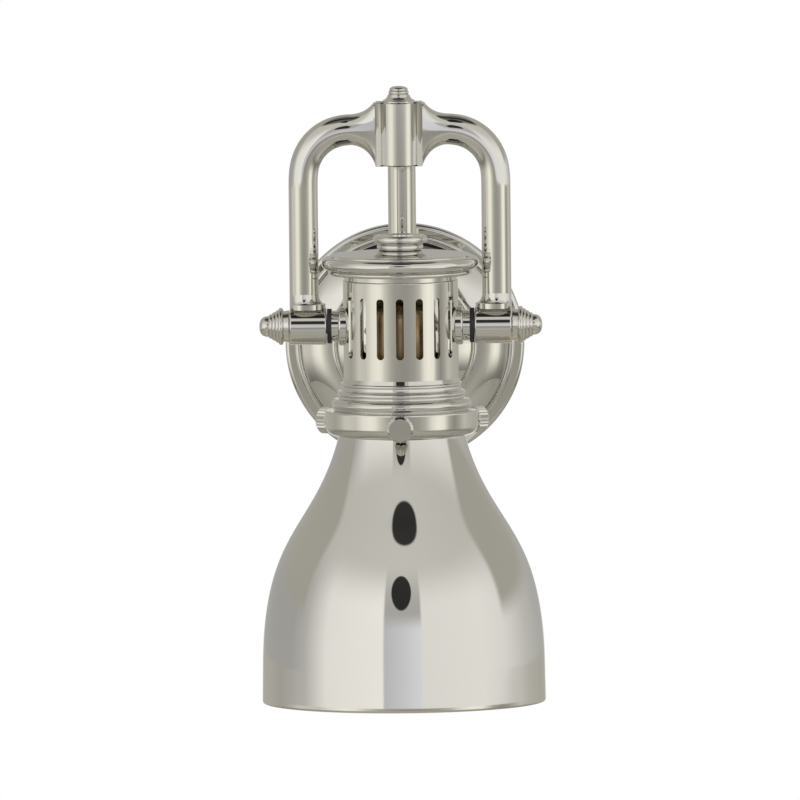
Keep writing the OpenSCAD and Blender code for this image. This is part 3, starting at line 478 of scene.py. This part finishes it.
@dataclass
class Shade(SubAssembly):
    """The bell, spun from one sheet, with a lip for the thumbscrews and a softly turned mouth."""

    neck: float = 33.4
    mouth: float = 75.3
    top: float = -57.8
    lip: float = 34.6
    lip_top: float = -45.9
    lip_height: float = 1.6
    height: float = 142.0
    skirt: float = 22.0
    waist_drop: float = 50.5
    waist_flare: float = 12.9
    shoulder: float = 71.0
    lean: float = 1.25
    wall: float = 1.2
    roll: float = 0.8
    roll_height: float = 1.6
    flare: float = 0.35
    bell_steps: int = 110

    def bell(self) -> tuple[Grid, Grid]:
        """The bell's outside as a cubic curve from the neck down to the skirt, and its inside along the normals."""
        bottom = self.top - self.height
        a = np.array([self.neck, self.top])
        b = np.array([self.neck + self.waist_flare, self.top - self.waist_drop])
        skirt_r = self.mouth - self.flare
        c = np.array([skirt_r - self.lean, bottom + self.skirt + self.shoulder])
        d = np.array([skirt_r, bottom + self.skirt])
        t = np.linspace(0.0, 1.0, self.bell_steps + 1)[:, None]
        outside = (1 - t) ** 3 * a + 3 * t * (1 - t) ** 2 * b + 3 * t**2 * (1 - t) * c + t**3 * d
        way = blend(t, b - a, c - b, d - c)
        way /= np.linalg.norm(way, axis=1, keepdims=True)
        inside = outside + self.wall * np.stack([way[:, 1], -way[:, 0]], axis=1)
        return outside, inside

    def profile(self) -> Grid:
        """The sheet's closed outline: lip, neck, bell, turned mouth, and back up inside."""
        outside, inside = self.bell()
        bottom = self.top - self.height
        turn = bottom + self.roll_height
        edge = self.mouth - self.roll
        return np.concatenate([
            [[self.neck - self.wall, self.lip_top], [self.lip, self.lip_top]],
            [[self.lip, self.lip_top - self.lip_height], [self.neck, self.lip_top - self.lip_height]],
            outside,
            np.linspace(outside[-1], (self.mouth, turn), 16)[1:-1],
            bow((self.mouth, turn), (self.mouth, bottom), (edge, bottom), 14),
            bow((edge - self.wall, bottom), (self.mouth - self.wall, bottom), (self.mouth - self.wall, turn), 8),
            inside[::-1],
        ])

    def build(self) -> None:
        """Makes the shade."""
        self.stand_for("shade", Body.HEAD, [(revolve(self.profile(), Axis.UPRIGHT, segments=256), True)])


@dataclass
class HeadTop(SubAssembly):
    """The head's cap with its rolled rim and bead, and the button on its dome."""

    radius: float = 41.8
    rim_height: float = 6.9
    bead: float = 38.2
    bead_height: float = 2.7
    neck: float = 29.8
    neck_height: float = 2.7
    bottom: float = 24.6
    ring: float = 28.85
    ring_bottom: float = 21.5
    opening: float = 27.3
    sheet: float = 1.6
    bead_turn: float = 70.0
    rim_turn: float = -75.0
    groove: float = 0.6
    groove_lip: Pair = (0.2, 0.1)
    groove_depth: float = 0.5
    dome_rise: float = 3.2
    dome_round: float = 1.0
    dome_pull: float = 0.3
    edge_turn: float = 80.0
    hole: float = 3.05
    button: float = 14.5
    button_height: float = 8.1
    button_turn: Pair = (-70.0, 130.0)
    foot: float = 12.3
    foot_height: float = 3.7
    recess: float = 0.5
    screw: float = 3.0
    screw_end: float = 23.5

    def heights(self) -> tuple[float, float, float, float]:
        """Heights of the bead's foot, the rim's foot, the dome's edge and the dome's top."""
        bead = self.bottom + self.neck_height
        rim = bead + self.bead_height
        edge = rim + self.rim_height
        return bead, rim, edge, edge + self.dome_rise

    def dome(self) -> Grid:
        """The dome's outline: an arc over its edge and a shallow curve from there to the button's foot."""
        _, _, edge, top = self.heights()
        dome_r = self.radius - self.rim_height / 2 - self.groove
        turned = arc((dome_r - self.dome_round, edge), self.dome_round, 0, self.edge_turn)
        end = turned[-1]
        pull = ((end[0] + self.foot) / 2, top - self.dome_pull * (top - end[1]))
        return np.concatenate([turned, bow(tuple(end), pull, (self.foot, top), 40)[1:]])

    def cap_profile(self) -> Grid:
        """The cap's closed outline: ring, neck, bead and rim as arcs, a groove, the dome, and back inside."""
        bead, rim, edge, top = self.heights()
        half, bead_half = self.rim_height / 2, self.bead_height / 2
        rim_r, bead_r = self.radius - half, self.bead - bead_half
        lip_in, lip_down = self.groove_lip
        dome = self.dome()
        return np.concatenate([
            [[self.opening, self.ring_bottom], [self.ring, self.ring_bottom], [self.ring, self.bottom]],
            [[self.neck, self.bottom], [self.neck, bead]],
            arc((bead_r, bead + bead_half), bead_half, -90, self.bead_turn),
            arc((rim_r, rim + half), half, self.rim_turn, 90, 24),
            bow((rim_r - lip_in, edge - lip_down), (rim_r - self.groove_depth, edge - self.groove_depth),
                (rim_r - self.groove, edge - lip_down), 6),
            dome,
            [[self.hole, top], [self.hole, top - self.sheet]],
            dome[::-1] - self.sheet,
            [[rim_r - self.groove - 2 * self.sheet, bead + self.sheet], [self.opening, bead + self.sheet]],
        ])

    def button_profile(self) -> Grid:
        """The button from axis to axis: its screw, a bead at its foot, a wider bead above, and a sunk flat face."""
        seat = self.heights()[3]
        foot_half = self.foot_height / 2
        half = self.button_height / 2 - foot_half
        face = seat + self.button_height - self.recess
        head_r = self.button - half
        return np.concatenate([
            [[0.0, self.screw_end], [self.screw, self.screw_end], [self.screw, seat]],
            arc((self.foot - foot_half, seat + foot_half), foot_half, -90, self.bead_turn, 20),
            arc((head_r, seat + self.foot_height + half), half, *self.button_turn, 28),
            bow((head_r - half, face), (head_r / 2, face), (0.0, face), 12),
        ])

    def build(self) -> None:
        """Makes the cap and the button."""
        button = revolve(self.button_profile(), Axis.UPRIGHT, segments=128)
        self.stand_for("cap", Body.HEAD, [(revolve(self.cap_profile(), Axis.UPRIGHT), True)])
        self.stand_for("cap_button", Body.HEAD, [(button, False)])


@dataclass
class Gallery(SubAssembly):
    """The stepped moulding and the plain band that the shade hangs in."""

    housing: float = 30.5
    inner: float = 28.9
    seat: float = -35.6
    top: float = -27.6
    moulding: float = 17.0
    band: float = 40.6
    band_height: float = 13.2
    band_wall: float = 1.6
    turn_in: float = 5.4
    edge: float = 0.8
    shoulder: float = 1.2
    ridge_r: Trio = (1.1, 1.6, 3.0)
    ridge_out: Trio = (0.06, 0.20, 0.35)
    ridge_drop: Trio = (0.19, 0.47, 0.80)
    ridge_start: Trio = (90.0, 75.0, 75.0)
    ridge_end: float = -62.0

    def ridges(self) -> list[Grid]:
        """The moulding's three round ridges as arcs, from the top down."""
        grow = self.band - self.housing
        return [
            arc((self.housing + out * grow, self.top - drop * self.moulding), r, start, self.ridge_end)
            for r, out, drop, start in zip(self.ridge_r, self.ridge_out, self.ridge_drop, self.ridge_start)
        ]

    def profile(self) -> Grid:
        """The closed outline: ridges joined by hollow curves, the band, its edge turned in, and back inside."""
        first, second, third = self.ridges()
        bottom = self.top - self.moulding
        band_in = self.band - self.band_wall
        turn = (self.band - self.turn_in, bottom - self.band_height + self.turn_in)
        return np.concatenate([
            [[self.housing, self.seat], [self.housing, self.top]],
            first,
            bow(tuple(first[-1]), (first[-1, 0], second[0, 1]), tuple(second[0])),
            second,
            bow(tuple(second[-1]), (second[-1, 0], third[0, 1]), tuple(third[0])),
            third,
            bow(tuple(third[-1]), (third[-1, 0], bottom), (self.band - self.edge, bottom)),
            arc((self.band - self.edge, bottom - self.edge), self.edge, 90, 0),
            arc(turn, self.turn_in, 0, -90, 24),
            arc(turn, self.turn_in - self.band_wall, -90, 0, 20),
            [[band_in, bottom - self.shoulder], [self.inner, bottom - self.shoulder], [self.inner, self.seat]],
        ])

    def build(self) -> None:
        """Makes the gallery."""
        self.stand_for("gallery", Body.HEAD, [(revolve(self.profile(), Axis.UPRIGHT, segments=224), True)])


@dataclass
class Knobs(SubAssembly):
    """The two ribbed knobs that clamp the head between the yoke's feet."""

    start: float = 59.1
    length: float = 15.9
    neck: float = 8.6
    ring: float = 9.9
    tip: float = 5.5
    bore: float = 4.05
    bore_end: float = 7.4
    edge: float = 0.3
    undercut: Pair = (0.5, 0.4)
    ring_turn: float = 80.0
    shares: Trio = (0.2, 0.36, 0.7)
    ribs: int = 3
    rib_points: tuple[Trio, Trio, Trio] = ((1.2, 0.0, 0.0), (0.9, 0.3, 0.7), (1.5, 0.8, 0.95))

    def profile(self) -> Grid:
        """The closed outline: neck, round ring, ribs that narrow as hollow steps, and a domed tip over the bore.

        The ring, the ribs and the tip start at shares of the length. Each of a rib's three points has a drop below the
        ring, a share of a rib's fall and a share of its length.
        """
        ring_x, ribs_x, tip_x = (self.start + share * self.length for share in self.shares)
        end, bore_end = self.start + self.length, self.start + self.bore_end
        step, fall = (tip_x - ribs_x) / self.ribs, (self.ring - self.rib_points[0][0] - self.tip) / self.ribs
        half = (ribs_x - ring_x) / 2
        ribs = [
            bow(*((self.ring - drop - (i + down) * fall, ribs_x + (i + along) * step)
                  for drop, down, along in self.rib_points), count=10)
            for i in range(self.ribs)
        ]
        return np.concatenate([
            [[self.bore, self.start], [self.neck - self.edge, self.start], [self.neck, self.start + self.edge]],
            [[self.neck - self.undercut[0], ring_x - self.undercut[1]]],
            arc((self.ring - half, ring_x + half), half, -self.ring_turn, self.ring_turn),
            *ribs,
            bow((self.tip, tip_x), (self.tip, end), (0.0, end)),
            [[0.0, bore_end], [self.bore, bore_end]],
        ])

    def build(self) -> None:
        """Makes both knobs."""
        sides = (("knob_left", Body.LEFT_KNOB, Axis.LEFT), ("knob_right", Body.RIGHT_KNOB, Axis.RIGHT))
        for node, body, axis in sides:
            self.stand_for(node, body, [(revolve(self.profile(), axis, segments=128), True)])


@dataclass
class Yoke(SubAssembly):
    """The two arms of the yoke, the hub between them and the finial on it."""

    rise: float = 103.8
    upright: float = 51.05
    bend: float = 23.9
    ease: float = 14.0
    ease_samples: int = 400
    bend_rows: int = 72
    heel_rows: int = 21
    upright_rows: int = 20
    across_rows: int = 41
    columns: int = 72
    bar: float = 7.75
    face: float = 12.6
    flare: float = 14.05
    flare_power: int = 5
    square: float = 0.6
    swell: float = 1.0
    hub: float = 10.2
    hub_top: float = 118.85
    hub_bottom: float = 84.95
    hub_edge: float = 0.6
    cheek: float = 8.5
    cheek_start: float = 9.2
    cheek_edge: float = 0.1
    cheek_flat: float = 0.9
    socket: float = 9.2
    socket_length: float = 18.0
    socket_bore: float = 7.45
    socket_rise: float = 101.9
    barrel: float = 9.8
    barrel_in: float = 39.3
    barrel_out: float = 58.8
    barrel_round: float = 0.8
    bore: float = 4.05
    heel_flare: float = 1.9
    heel_reach: float = 3.5
    heel_height: float = 5.2
    heel_edge: float = 2.0
    heel_core: float = 3.0
    heel_start: float = 1.0
    heel_gap: float = 0.5
    finial: float = 8.7
    finial_height: float = 8.4
    finial_edge: float = 0.5
    waist_share: float = 0.45
    waist_start: Pair = (0.3, 0.8)
    waist_out: Pair = (0.7, 0.4)
    finial_bead: float = 5.4
    bead_turn: float = 50.0
    bead_groove: float = 0.9
    tip_start: Pair = (0.4, 0.2)
    tip_pull: float = 0.6
    stud: float = 3.0
    stud_length: float = 7.0

    def bend_line(self) -> tuple[Grid, Grid]:
        """The middle line of an arm's quarter bend, eased at both ends by a running mean.

        Returns:
            The line's points and the angle at each of them.
        """
        long = self.bend * math.pi / 2
        along = np.linspace(-self.ease, long + self.ease, self.ease_samples + 1)
        angle = np.clip(along, 0.0, long) / self.bend
        plain = self.bend * np.stack([np.cos(angle), np.sin(angle)], axis=1)
        plain += np.stack([long - np.clip(along, long, None), np.clip(along, None, 0.0)], axis=1)
        window = 1 + round(self.ease_samples * self.ease / (along[-1] - along[0]))
        mean = np.lib.stride_tricks.sliding_window_view(plain, window, axis=0).mean(axis=2)
        turn = np.lib.stride_tricks.sliding_window_view(angle, window).mean(axis=1)
        keep = np.round(np.linspace(0, len(turn) - 1, self.bend_rows)).astype(int)
        centre = np.array([self.upright - self.bend, self.rise - self.bend])
        return centre + mean[keep], turn[keep]

    def arm(self, side: float) -> Grid:
        """One arm as an oval carried along the middle line: up, round an eased quarter bend and across to the hub.

        Above and below, the oval's half height grows to the hub as a circle of the bend's inner radius, and the oval
        grows squarer. The bar swells a little over the bend's outside. Its foot flares as a quarter oval to a plain
        edge on the barrel, most on the inner side and not at all on the outer one.

        Args:
            side: 1 for the right arm, -1 for the left one.

        Returns:
            The grid of the arm's surface, closed by a pole at both ends.
        """
        curve, angle = self.bend_line()
        under, up = self.barrel - self.barrel_round, np.linspace(0.0, math.pi / 2, self.heel_rows)
        heel = self.barrel + self.heel_edge + self.heel_height * (1 - np.cos(up))
        plain = np.linspace(heel[-1] + self.heel_gap, curve[0, 1], self.upright_rows, endpoint=False)
        straight = np.concatenate([[self.heel_start, under, under], heel, plain])
        across = np.linspace(curve[-1, 0], self.face, self.across_rows)[1:]
        middle = np.concatenate([
            np.stack([np.full_like(straight, self.upright), straight], axis=1),
            curve,
            np.stack([across, np.full_like(across, self.rise)], axis=1),
        ])
        turn = np.concatenate([0 * straight, angle, np.full_like(across, math.pi / 2)])
        inner_r = self.bend - self.bar
        way = np.clip(self.face + self.flare - middle[:, 0], 0.0, None)
        run = way / self.flare
        grown = self.bend - np.sqrt(inner_r**2 - way**2)
        foot = np.concatenate([np.ones(3), 1 - np.sin(up), 0 * plain, 0 * angle, 0 * across])
        lowest, highest = self.rise - self.hub_bottom - self.hub_edge, self.hub_top - self.rise - self.hub_edge / 2
        below = grown + (lowest - grown[-1]) * run**self.flare_power + self.heel_reach * foot
        above = np.minimum(grown + self.swell * np.sin(turn) ** 2 * (1 - run), highest)
        depth = self.bar + (self.cheek - self.bar) * run**2 + self.heel_flare * foot
        depth[:2] = self.heel_core
        power = (1.0 - self.square * run)[:, None]
        ring = np.linspace(0.0, 2 * math.pi, self.columns, endpoint=False)[None, :]
        cos, sin = np.cos(ring), np.sin(ring)
        reach = np.where(cos > 0, above[:, None], below[:, None]) * np.sign(cos) * np.abs(cos) ** power
        wide = depth[:, None] * np.sign(sin) * np.abs(sin) ** power
        x = middle[:, :1] + reach * np.cos(turn)[:, None]
        z = middle[:, 1:] + reach * np.sin(turn)[:, None]
        grid = np.stack([side * x, wide - REACH, z + RISE], axis=2)
        ends = np.stack([side * middle[[0, -1], 0], np.full(2, -REACH), middle[[0, -1], 1] + RISE], axis=1)
        poles = np.repeat(ends[:, None, :], self.columns, axis=1)
        return np.concatenate([poles[:1], grid, poles[1:]]) * MM

    def hub_block(self) -> Grid:
        """The hub as one outline carried upright, a little smaller at both ends.

        A quarter of the outline is an arc of the hub's circle, a slanted line out to the cheek's corner and the
        cheek's half face. The other quarters mirror it.

        Returns:
            The grid of the hub's surface, closed by a pole at both ends.
        """
        root = math.degrees(math.acos(self.cheek_start / self.hub))
        quarter = np.concatenate([
            arc((0.0, 0.0), self.hub, 90, root, 40),
            np.linspace((self.face - self.cheek_edge, self.cheek), (self.face, self.cheek - self.cheek_edge), 3),
            np.linspace((self.face, self.cheek_flat * self.cheek), (self.face, 0.0), 9),
        ])
        half = np.concatenate([quarter, quarter[-2::-1] * (1, -1)])
        plan = np.concatenate([half, half[-2:0:-1] * (-1, 1)])
        small = 1 - self.hub_edge / self.face
        scale = np.array([0.0, small, 1.0, 1.0, small, 0.0])[:, None]
        height = np.array([0.0, 0.0, self.hub_edge, -self.hub_edge, 0.0, 0.0])
        height += RISE + np.repeat([self.hub_bottom, self.hub_top], 3)
        x, y = scale * plan[:, 0], scale * plan[:, 1] - REACH
        return np.stack([x, y, np.repeat(height[:, None], len(plan), axis=1)], axis=2) * MM

    def hub_socket(self) -> Grid:
        """The round socket behind the hub that holds the wall arm, turned about a line out from the wall."""
        near, far = REACH - self.socket_length, REACH - self.hub / 2
        corners = [[self.socket_bore, near], [self.socket, near], [self.socket, far], [self.socket_bore, far]]
        grid = revolve(np.array(corners), Axis.WALL, segments=96)
        return grid + np.array([0.0, 0.0, (RISE + self.socket_rise) * MM])

    def barrel_profile(self) -> Grid:
        """The foot's barrel: a ring with rounded edges round the stud's bore."""
        start, end, r, soft = self.barrel_in, self.barrel_out, self.barrel, self.barrel_round
        return np.concatenate([
            [[self.bore, start]],
            bow((r - soft, start), (r, start), (r, start + soft), 6),
            bow((r, end - soft), (r, end), (r - soft, end), 6),
            [[self.bore, end]],
        ])

    def finial_profile(self) -> Grid:
        """The finial from axis to axis: its stud, a foot, a hollow waist, a round bead and a domed top."""
        foot, r = self.hub_top, self.finial_bead
        waist = self.waist_share * self.finial_height
        bead = (self.finial_height - waist) / 2
        top, stud_end = foot + self.finial_height, foot - self.stud_length
        bead_top = foot + waist + bead
        start_in, start_up = self.waist_start
        pull_out, end_out = self.waist_out
        tip_in, tip_up = self.tip_start
        return np.concatenate([
            [[0.0, stud_end], [self.stud, stud_end], [self.stud, foot]],
            [[self.finial, foot], [self.finial, foot + self.finial_edge]],
            bow((self.finial - start_in, foot + start_up), (r + pull_out, foot + waist / 2),
                (r + end_out, foot + waist)),
            arc((r - bead / 2, foot + waist + bead / 2), bead / 2, -self.bead_turn, self.bead_turn),
            [[r - self.bead_groove, bead_top]],
            bow((r - tip_in, bead_top + tip_up), (r - self.tip_pull, top), (0.0, top)),
        ])

    def build(self) -> None:
        """Makes the two arms, the hub and the finial."""
        for node, axis, side in (("yoke_arm_left", Axis.LEFT, -1.0), ("yoke_arm_right", Axis.RIGHT, 1.0)):
            barrel = revolve(self.barrel_profile(), axis, segments=128)
            self.stand_for(node, Body.WALL_SIDE, [(self.arm(side), False), (barrel, True)])
        self.stand_for("yoke_hub", Body.WALL_SIDE, [(self.hub_block(), False), (self.hub_socket(), True)])
        finial = revolve(self.finial_profile(), Axis.UPRIGHT, segments=96)
        self.stand_for("top_finial", Body.WALL_SIDE, [(finial, False)])


@dataclass
class Room:
    """The room that the polish shows: a colour that depends only on the direction.

    Azimuths are in degrees from the camera's side, to the right, and elevations (lifts) in degrees above the horizon.
    Depth is the direction's part towards the wall. A pair of lifts, azimuths or depths says where a layer starts to
    show and where it shows in full.
    """

    sheet: NodeSheet
    turn: Socket
    lift: Socket
    depth: Socket
    tint: Colour = (1.0, 0.985, 0.945)
    dusk: Colour = (1.0, 0.98, 0.92)
    shadow: Colour = (1.0, 0.98, 0.87)
    haze: Colour = (1.0, 1.0, 1.05)
    black: Colour = (0.012, 0.012, 0.012)
    walls: Levels = (
        (-179, 0.42), (-160, 0.45), (-104, 0.46), (-88, 0.57), (-66, 0.98), (-18, 1.06), (18, 0.92), (70, 0.97),
        (92, 0.90), (122, 0.64), (145, 0.52), (179, 0.42),
    )
    strip: Levels = ((-30, 0.62), (-15, 0.63), (0, 0.74), (14, 0.86), (30, 0.90))
    strip_turn: Pair = (17.0, 14.5)
    strip_fade: Pair = (8.0, 16.0)
    strip_level: float = 0.5
    horizon: Levels = (
        (-179, 0.46), (-140, 0.50), (-118, 0.46), (-105, 0.56), (-95, 0.74), (-84, 0.74), (-73, 0.72), (-60, 1.0),
        (-48, 1.10), (-40, 1.04), (-30, 0.72), (-20, 0.50), (-10, 0.40), (4, 0.36), (14, 0.37), (28, 0.44),
        (38, 0.58), (48, 0.96), (58, 1.14), (68, 1.06), (78, 0.50), (88, 0.34), (98, 0.46), (110, 0.66), (125, 0.56),
        (150, 0.48), (179, 0.46),
    )
    horizon_lift: Pair = (-3.5, -4.2)
    ground: Levels = (
        (-179, 0.30), (-90, 0.20), (-40, 0.30), (-12, 0.55), (12, 0.55), (40, 0.30), (90, 0.20), (179, 0.30),
    )
    ground_lift: Pair = (-8.0, -26.0)
    ceiling: Levels = (
        (-179, 0.44), (-125, 0.46), (-95, 0.64), (0, 0.70), (95, 0.64), (125, 0.46), (179, 0.44),
    )
    ceiling_lift: Pair = (16.0, 44.0)
    rear_depth: Pair = (0.0, 0.12)
    rear_lift: Pair = (5.0, 14.0)
    rear_level: float = 0.46
    zenith_lift: Pair = (57.0, 66.0)
    zenith_level: float = 0.16
    bar_depth: Pair = (0.16, 0.08)
    bar_lift: Pair = (56.0, 66.0)
    spots: tuple[tuple[Pair, Pair], ...] = (((-1.0, 26.5), (9.0, 9.5)), ((4.0, 66.0), (26.0, 12.0)))
    spot_size: float = 1.1
    spot_edge: float = 6.0
    black_share: float = 0.96

    @classmethod
    def on(cls, sheet: NodeSheet) -> "Room":
        """Adds to the world's nodes those that turn a ray's direction into azimuth, elevation and depth."""
        way = sheet.add("ShaderNodeTexCoord").outputs["Generated"]
        axes = sheet.add("ShaderNodeSeparateXYZ", {"Vector": way}).outputs
        angles = (sheet.maths("ARCTAN2", axes["X"], sheet.maths("MULTIPLY", axes["Y"], -1.0)),
                  sheet.maths("ARCSINE", axes["Z"]))
        turn, lift = (sheet.maths("MULTIPLY", angle, 180 / math.pi) for angle in angles)
        return cls(sheet, turn, lift, axes["Y"])

    def around(self, levels: Levels, tint: Colour) -> Socket:
        """A ramp of brightness over the azimuth, in a tint."""
        share = self.sheet.maths("ADD", self.sheet.maths("DIVIDE", self.turn, 360.0), 0.5)
        return self.sheet.ramp(share, [(at / 360 + 0.5, dimmed(tint, level)) for at, level in levels])

    def step(self, value: Socket, ends: Pair) -> Socket:
        """Rises smoothly from 0 at the first end to 1 at the second; the first may be the higher one."""
        return self.sheet.span(value, ends, 0.0, 1.0, "SMOOTHSTEP")

    def spot(self, middle: Pair, half: Pair) -> Socket:
        """A soft oval, 1 inside and 0 outside; middle and half size are in azimuth and elevation."""
        sheet = self.sheet
        u = sheet.maths("DIVIDE", sheet.maths("SUBTRACT", self.turn, middle[0]), half[0])
        v = sheet.maths("DIVIDE", sheet.maths("SUBTRACT", self.lift, middle[1]), half[1])
        square = sheet.maths("ADD", sheet.maths("MULTIPLY", u, u), sheet.maths("MULTIPLY", v, v))
        return sheet.maths("MULTIPLY", sheet.maths("SUBTRACT", self.spot_size, square), self.spot_edge, clamp=True)

    def black_parts(self) -> Socket:
        """The black bar overhead and the black spots over the camera, as a strength from 0 to 1."""
        sheet = self.sheet
        across = self.step(sheet.maths("ABSOLUTE", self.depth), self.bar_depth)
        parts = sheet.maths("MULTIPLY", across, self.step(self.lift, self.bar_lift))
        for middle, half in self.spots:
            parts = sheet.maths("MAXIMUM", parts, self.spot(middle, half))
        return sheet.maths("MULTIPLY", parts, self.black_share)

    def colour(self) -> Socket:
        """Lays the layers over each other and adds the black parts.

        First come the walls, with a greyer strip on the camera's side. By elevation follow the horizon, the ground and
        the ceiling. Over them lie the dim rear above the horizon and the dim zenith.

        Returns:
            The room's colour.
        """
        sheet = self.sheet
        upper = dimmed(self.tint, self.strip_level)
        strip = sheet.mix(self.step(self.lift, self.strip_fade), self.around(self.strip, self.haze), upper)
        aside = sheet.maths("ABSOLUTE", self.turn)
        room = sheet.mix(self.step(aside, self.strip_turn), self.around(self.walls, self.tint), strip)
        for lift, levels, tint in (
            (self.horizon_lift, self.horizon, self.shadow),
            (self.ground_lift, self.ground, self.shadow),
            (self.ceiling_lift, self.ceiling, self.dusk),
        ):
            room = sheet.mix(self.step(self.lift, lift), room, self.around(levels, tint))
        rear = sheet.maths("MULTIPLY", self.step(self.depth, self.rear_depth), self.step(self.lift, self.rear_lift))
        room = sheet.mix(rear, room, dimmed(self.shadow, self.rear_level))
        room = sheet.mix(self.step(self.lift, self.zenith_lift), room, dimmed(self.shadow, self.zenith_level))
        return sheet.mix(self.black_parts(), room, self.black)


@dataclass
class Studio:
    """A plain soft studio: two broad light walls with a gap for the camera, a pale floor and a white backdrop.

    Its lengths are in metres, but the camera's aim and pixel are in millimetres.
    """

    distance: float = 18.0
    azimuth: float = 1.0
    elevation: float = 4.5
    roll: float = -0.55
    sensor: float = 36.0
    sight: float = 100.0
    pixel: float = 0.53
    pixels: int = 800
    aim: Trio = (-0.8, -128.0, -21.0)
    backdrop_turn: Pair = (164.0, 176.0)
    backdrop_lift: Pair = (-1.0, -3.0)
    floor_z: float = -1.2
    floor_radius: float = 2.5
    floor_rings: int = 9
    floor_steps: int = 96
    floor_low: Colour = (0.60, 0.585, 0.54)
    floor_high: Colour = (0.66, 0.645, 0.60)
    floor_patch: float = 1.5
    warm: Colour = (0.95, 0.76, 0.56)
    warm_radius: Pair = (0.3, 0.6)
    soft_lamps: tuple[tuple[str, Trio, float], ...] = (
        ("key", (-1.6, -2.2, 1.4), 22.0), ("fill", (1.8, -1.8, 0.9), 14.0),
    )
    lamp_size: float = 1.2

    def camera(self) -> None:
        """Sets a long-lens camera at the photograph's angle, so that a pixel is 0.53 mm at the lamp's axis."""
        made = bpy.data.cameras.new("camera")
        half = 0.5 * self.pixels * self.pixel * MM
        made.sensor_width = self.sensor
        made.lens = 0.5 * self.sensor * self.distance / half
        made.clip_end = self.sight
        camera = add_object("camera", made)
        turn, lift = math.radians(self.azimuth), math.radians(self.elevation)
        back = Vector((math.sin(turn) * math.cos(lift), -math.cos(turn) * math.cos(lift), math.sin(lift)))
        camera.location = Vector(self.aim) * MM + back * self.distance
        camera.rotation_mode = "QUATERNION"
        level = (-back).to_track_quat("-Z", "Y")
        camera.rotation_quaternion = level @ Quaternion((0.0, 0.0, 1.0), math.radians(self.roll))
        bpy.context.scene.camera = camera

    def world(self) -> None:
        """Lights the scene by the room, and shows the camera and the polish a white backdrop behind the lamp."""
        world = bpy.data.worlds.new("studio")
        bpy.context.scene.world = world
        world.use_nodes = True
        sheet = NodeSheet(world.node_tree)
        room = Room.on(sheet)
        path = sheet.add("ShaderNodeLightPath").outputs
        mirrored = sheet.maths("MAXIMUM", path["Is Glossy Ray"], path["Is Transmission Ray"])
        behind = room.step(sheet.maths("ABSOLUTE", room.turn), self.backdrop_turn)
        backdrop = sheet.maths("MULTIPLY", behind, room.step(room.lift, self.backdrop_lift))
        seen = sheet.maths("MAXIMUM", path["Is Camera Ray"], sheet.maths("MULTIPLY", mirrored, backdrop))
        colour = sheet.mix(seen, room.colour(), WHITE)
        light = sheet.add("ShaderNodeBackground", {"Color": colour}, Strength=1.0)
        sheet.add("ShaderNodeOutputWorld", {"Surface": light.outputs["Background"]})

    def floor(self) -> None:
        """Lays a pale floor well below the lamp: a disc whose radius and angle are the grid's two parameters.

        It is white to the camera and can be seen only from above.
        """
        radius = np.linspace(0.0, self.floor_radius, self.floor_rings)[:, None]
        angle = np.linspace(0.0, 2 * math.pi, self.floor_steps, endpoint=False)[None, :]
        grid = np.stack([radius * np.cos(angle), radius * np.sin(angle), 0 * radius * angle + self.floor_z], axis=2)
        points, faces = weld(grid, False)
        mesh = bpy.data.meshes.new("floor")
        mesh.from_pydata(points, [], faces[:, ::-1].tolist())  # turned to face up
        made = add_object("floor", mesh)
        mesh.materials.append(self.floor_finish())

    def floor_finish(self) -> bpy.types.Material:
        """A pale, faintly cloudy floor, warm under the lamp, that the camera sees as white and only from above."""
        made = bpy.data.materials.new("pale_floor")
        made.use_nodes = True
        sheet = NodeSheet(made.node_tree)
        clouds = sheet.clouds(self.floor_patch, self.floor_low, self.floor_high)
        place = sheet.add("ShaderNodeTexCoord").outputs["Object"]
        level = sheet.add("ShaderNodeVectorMath", {"Vector": place}, operation="MULTIPLY")
        level.inputs[1].default_value = (1.0, 1.0, 0.0)
        away = sheet.add("ShaderNodeVectorMath", {"Vector": level.outputs["Vector"]}, operation="LENGTH")
        near = sheet.span(away.outputs["Value"], self.warm_radius, 1.0, 0.0)
        plain = sheet.add("ShaderNodeBsdfDiffuse", {"Color": sheet.mix(near, clouds, self.warm)}).outputs["BSDF"]
        white = sheet.add("ShaderNodeEmission", Color=(*WHITE, 1.0), Strength=1.0).outputs["Emission"]
        clear = sheet.add("ShaderNodeBsdfTransparent").outputs["BSDF"]
        shown = sheet.mix_shaders(sheet.add("ShaderNodeLightPath").outputs["Is Camera Ray"], plain, white)
        below = sheet.add("ShaderNodeNewGeometry").outputs["Backfacing"]
        sheet.add("ShaderNodeOutputMaterial", {"Surface": sheet.mix_shaders(below, shown, clear)})
        return made

    def lamps(self) -> None:
        """Hangs two large soft lamps left and right that light dull pieces and don't show in the polish."""
        for name, place, power in self.soft_lamps:
            light = bpy.data.lights.new(name, "AREA")
            light.shape = "DISK"
            light.size = self.lamp_size
            light.energy = power
            lamp = add_object(name, light)
            lamp.location = place
            aim = Vector((0.0, -REACH * MM, 0.0)) - lamp.location
            lamp.rotation_mode = "QUATERNION"
            lamp.rotation_quaternion = aim.to_track_quat("-Z", "Y")
            lamp.visible_glossy = False
            lamp.visible_camera = False

    def build(self) -> None:
        """Sets up the camera, the room, the floor and the lamps."""
        bpy.context.scene.view_settings.view_transform = "Standard"
        self.camera()
        self.world()
        self.floor()
        self.lamps()


def main() -> None:
    """Builds the studio and the sub-assemblies in order."""
    logging.basicConfig(level=logging.INFO, format="%(name)s: %(message)s")
    Studio().build()
    finishes = Finishes()
    finishes.build()
    finishes.dress_frame()
    for kind in (WallPlate, Yoke, HeadTop, Gallery, Shade, Knobs):
        kind(finishes).build()


if __name__ == "__main__":
    main()
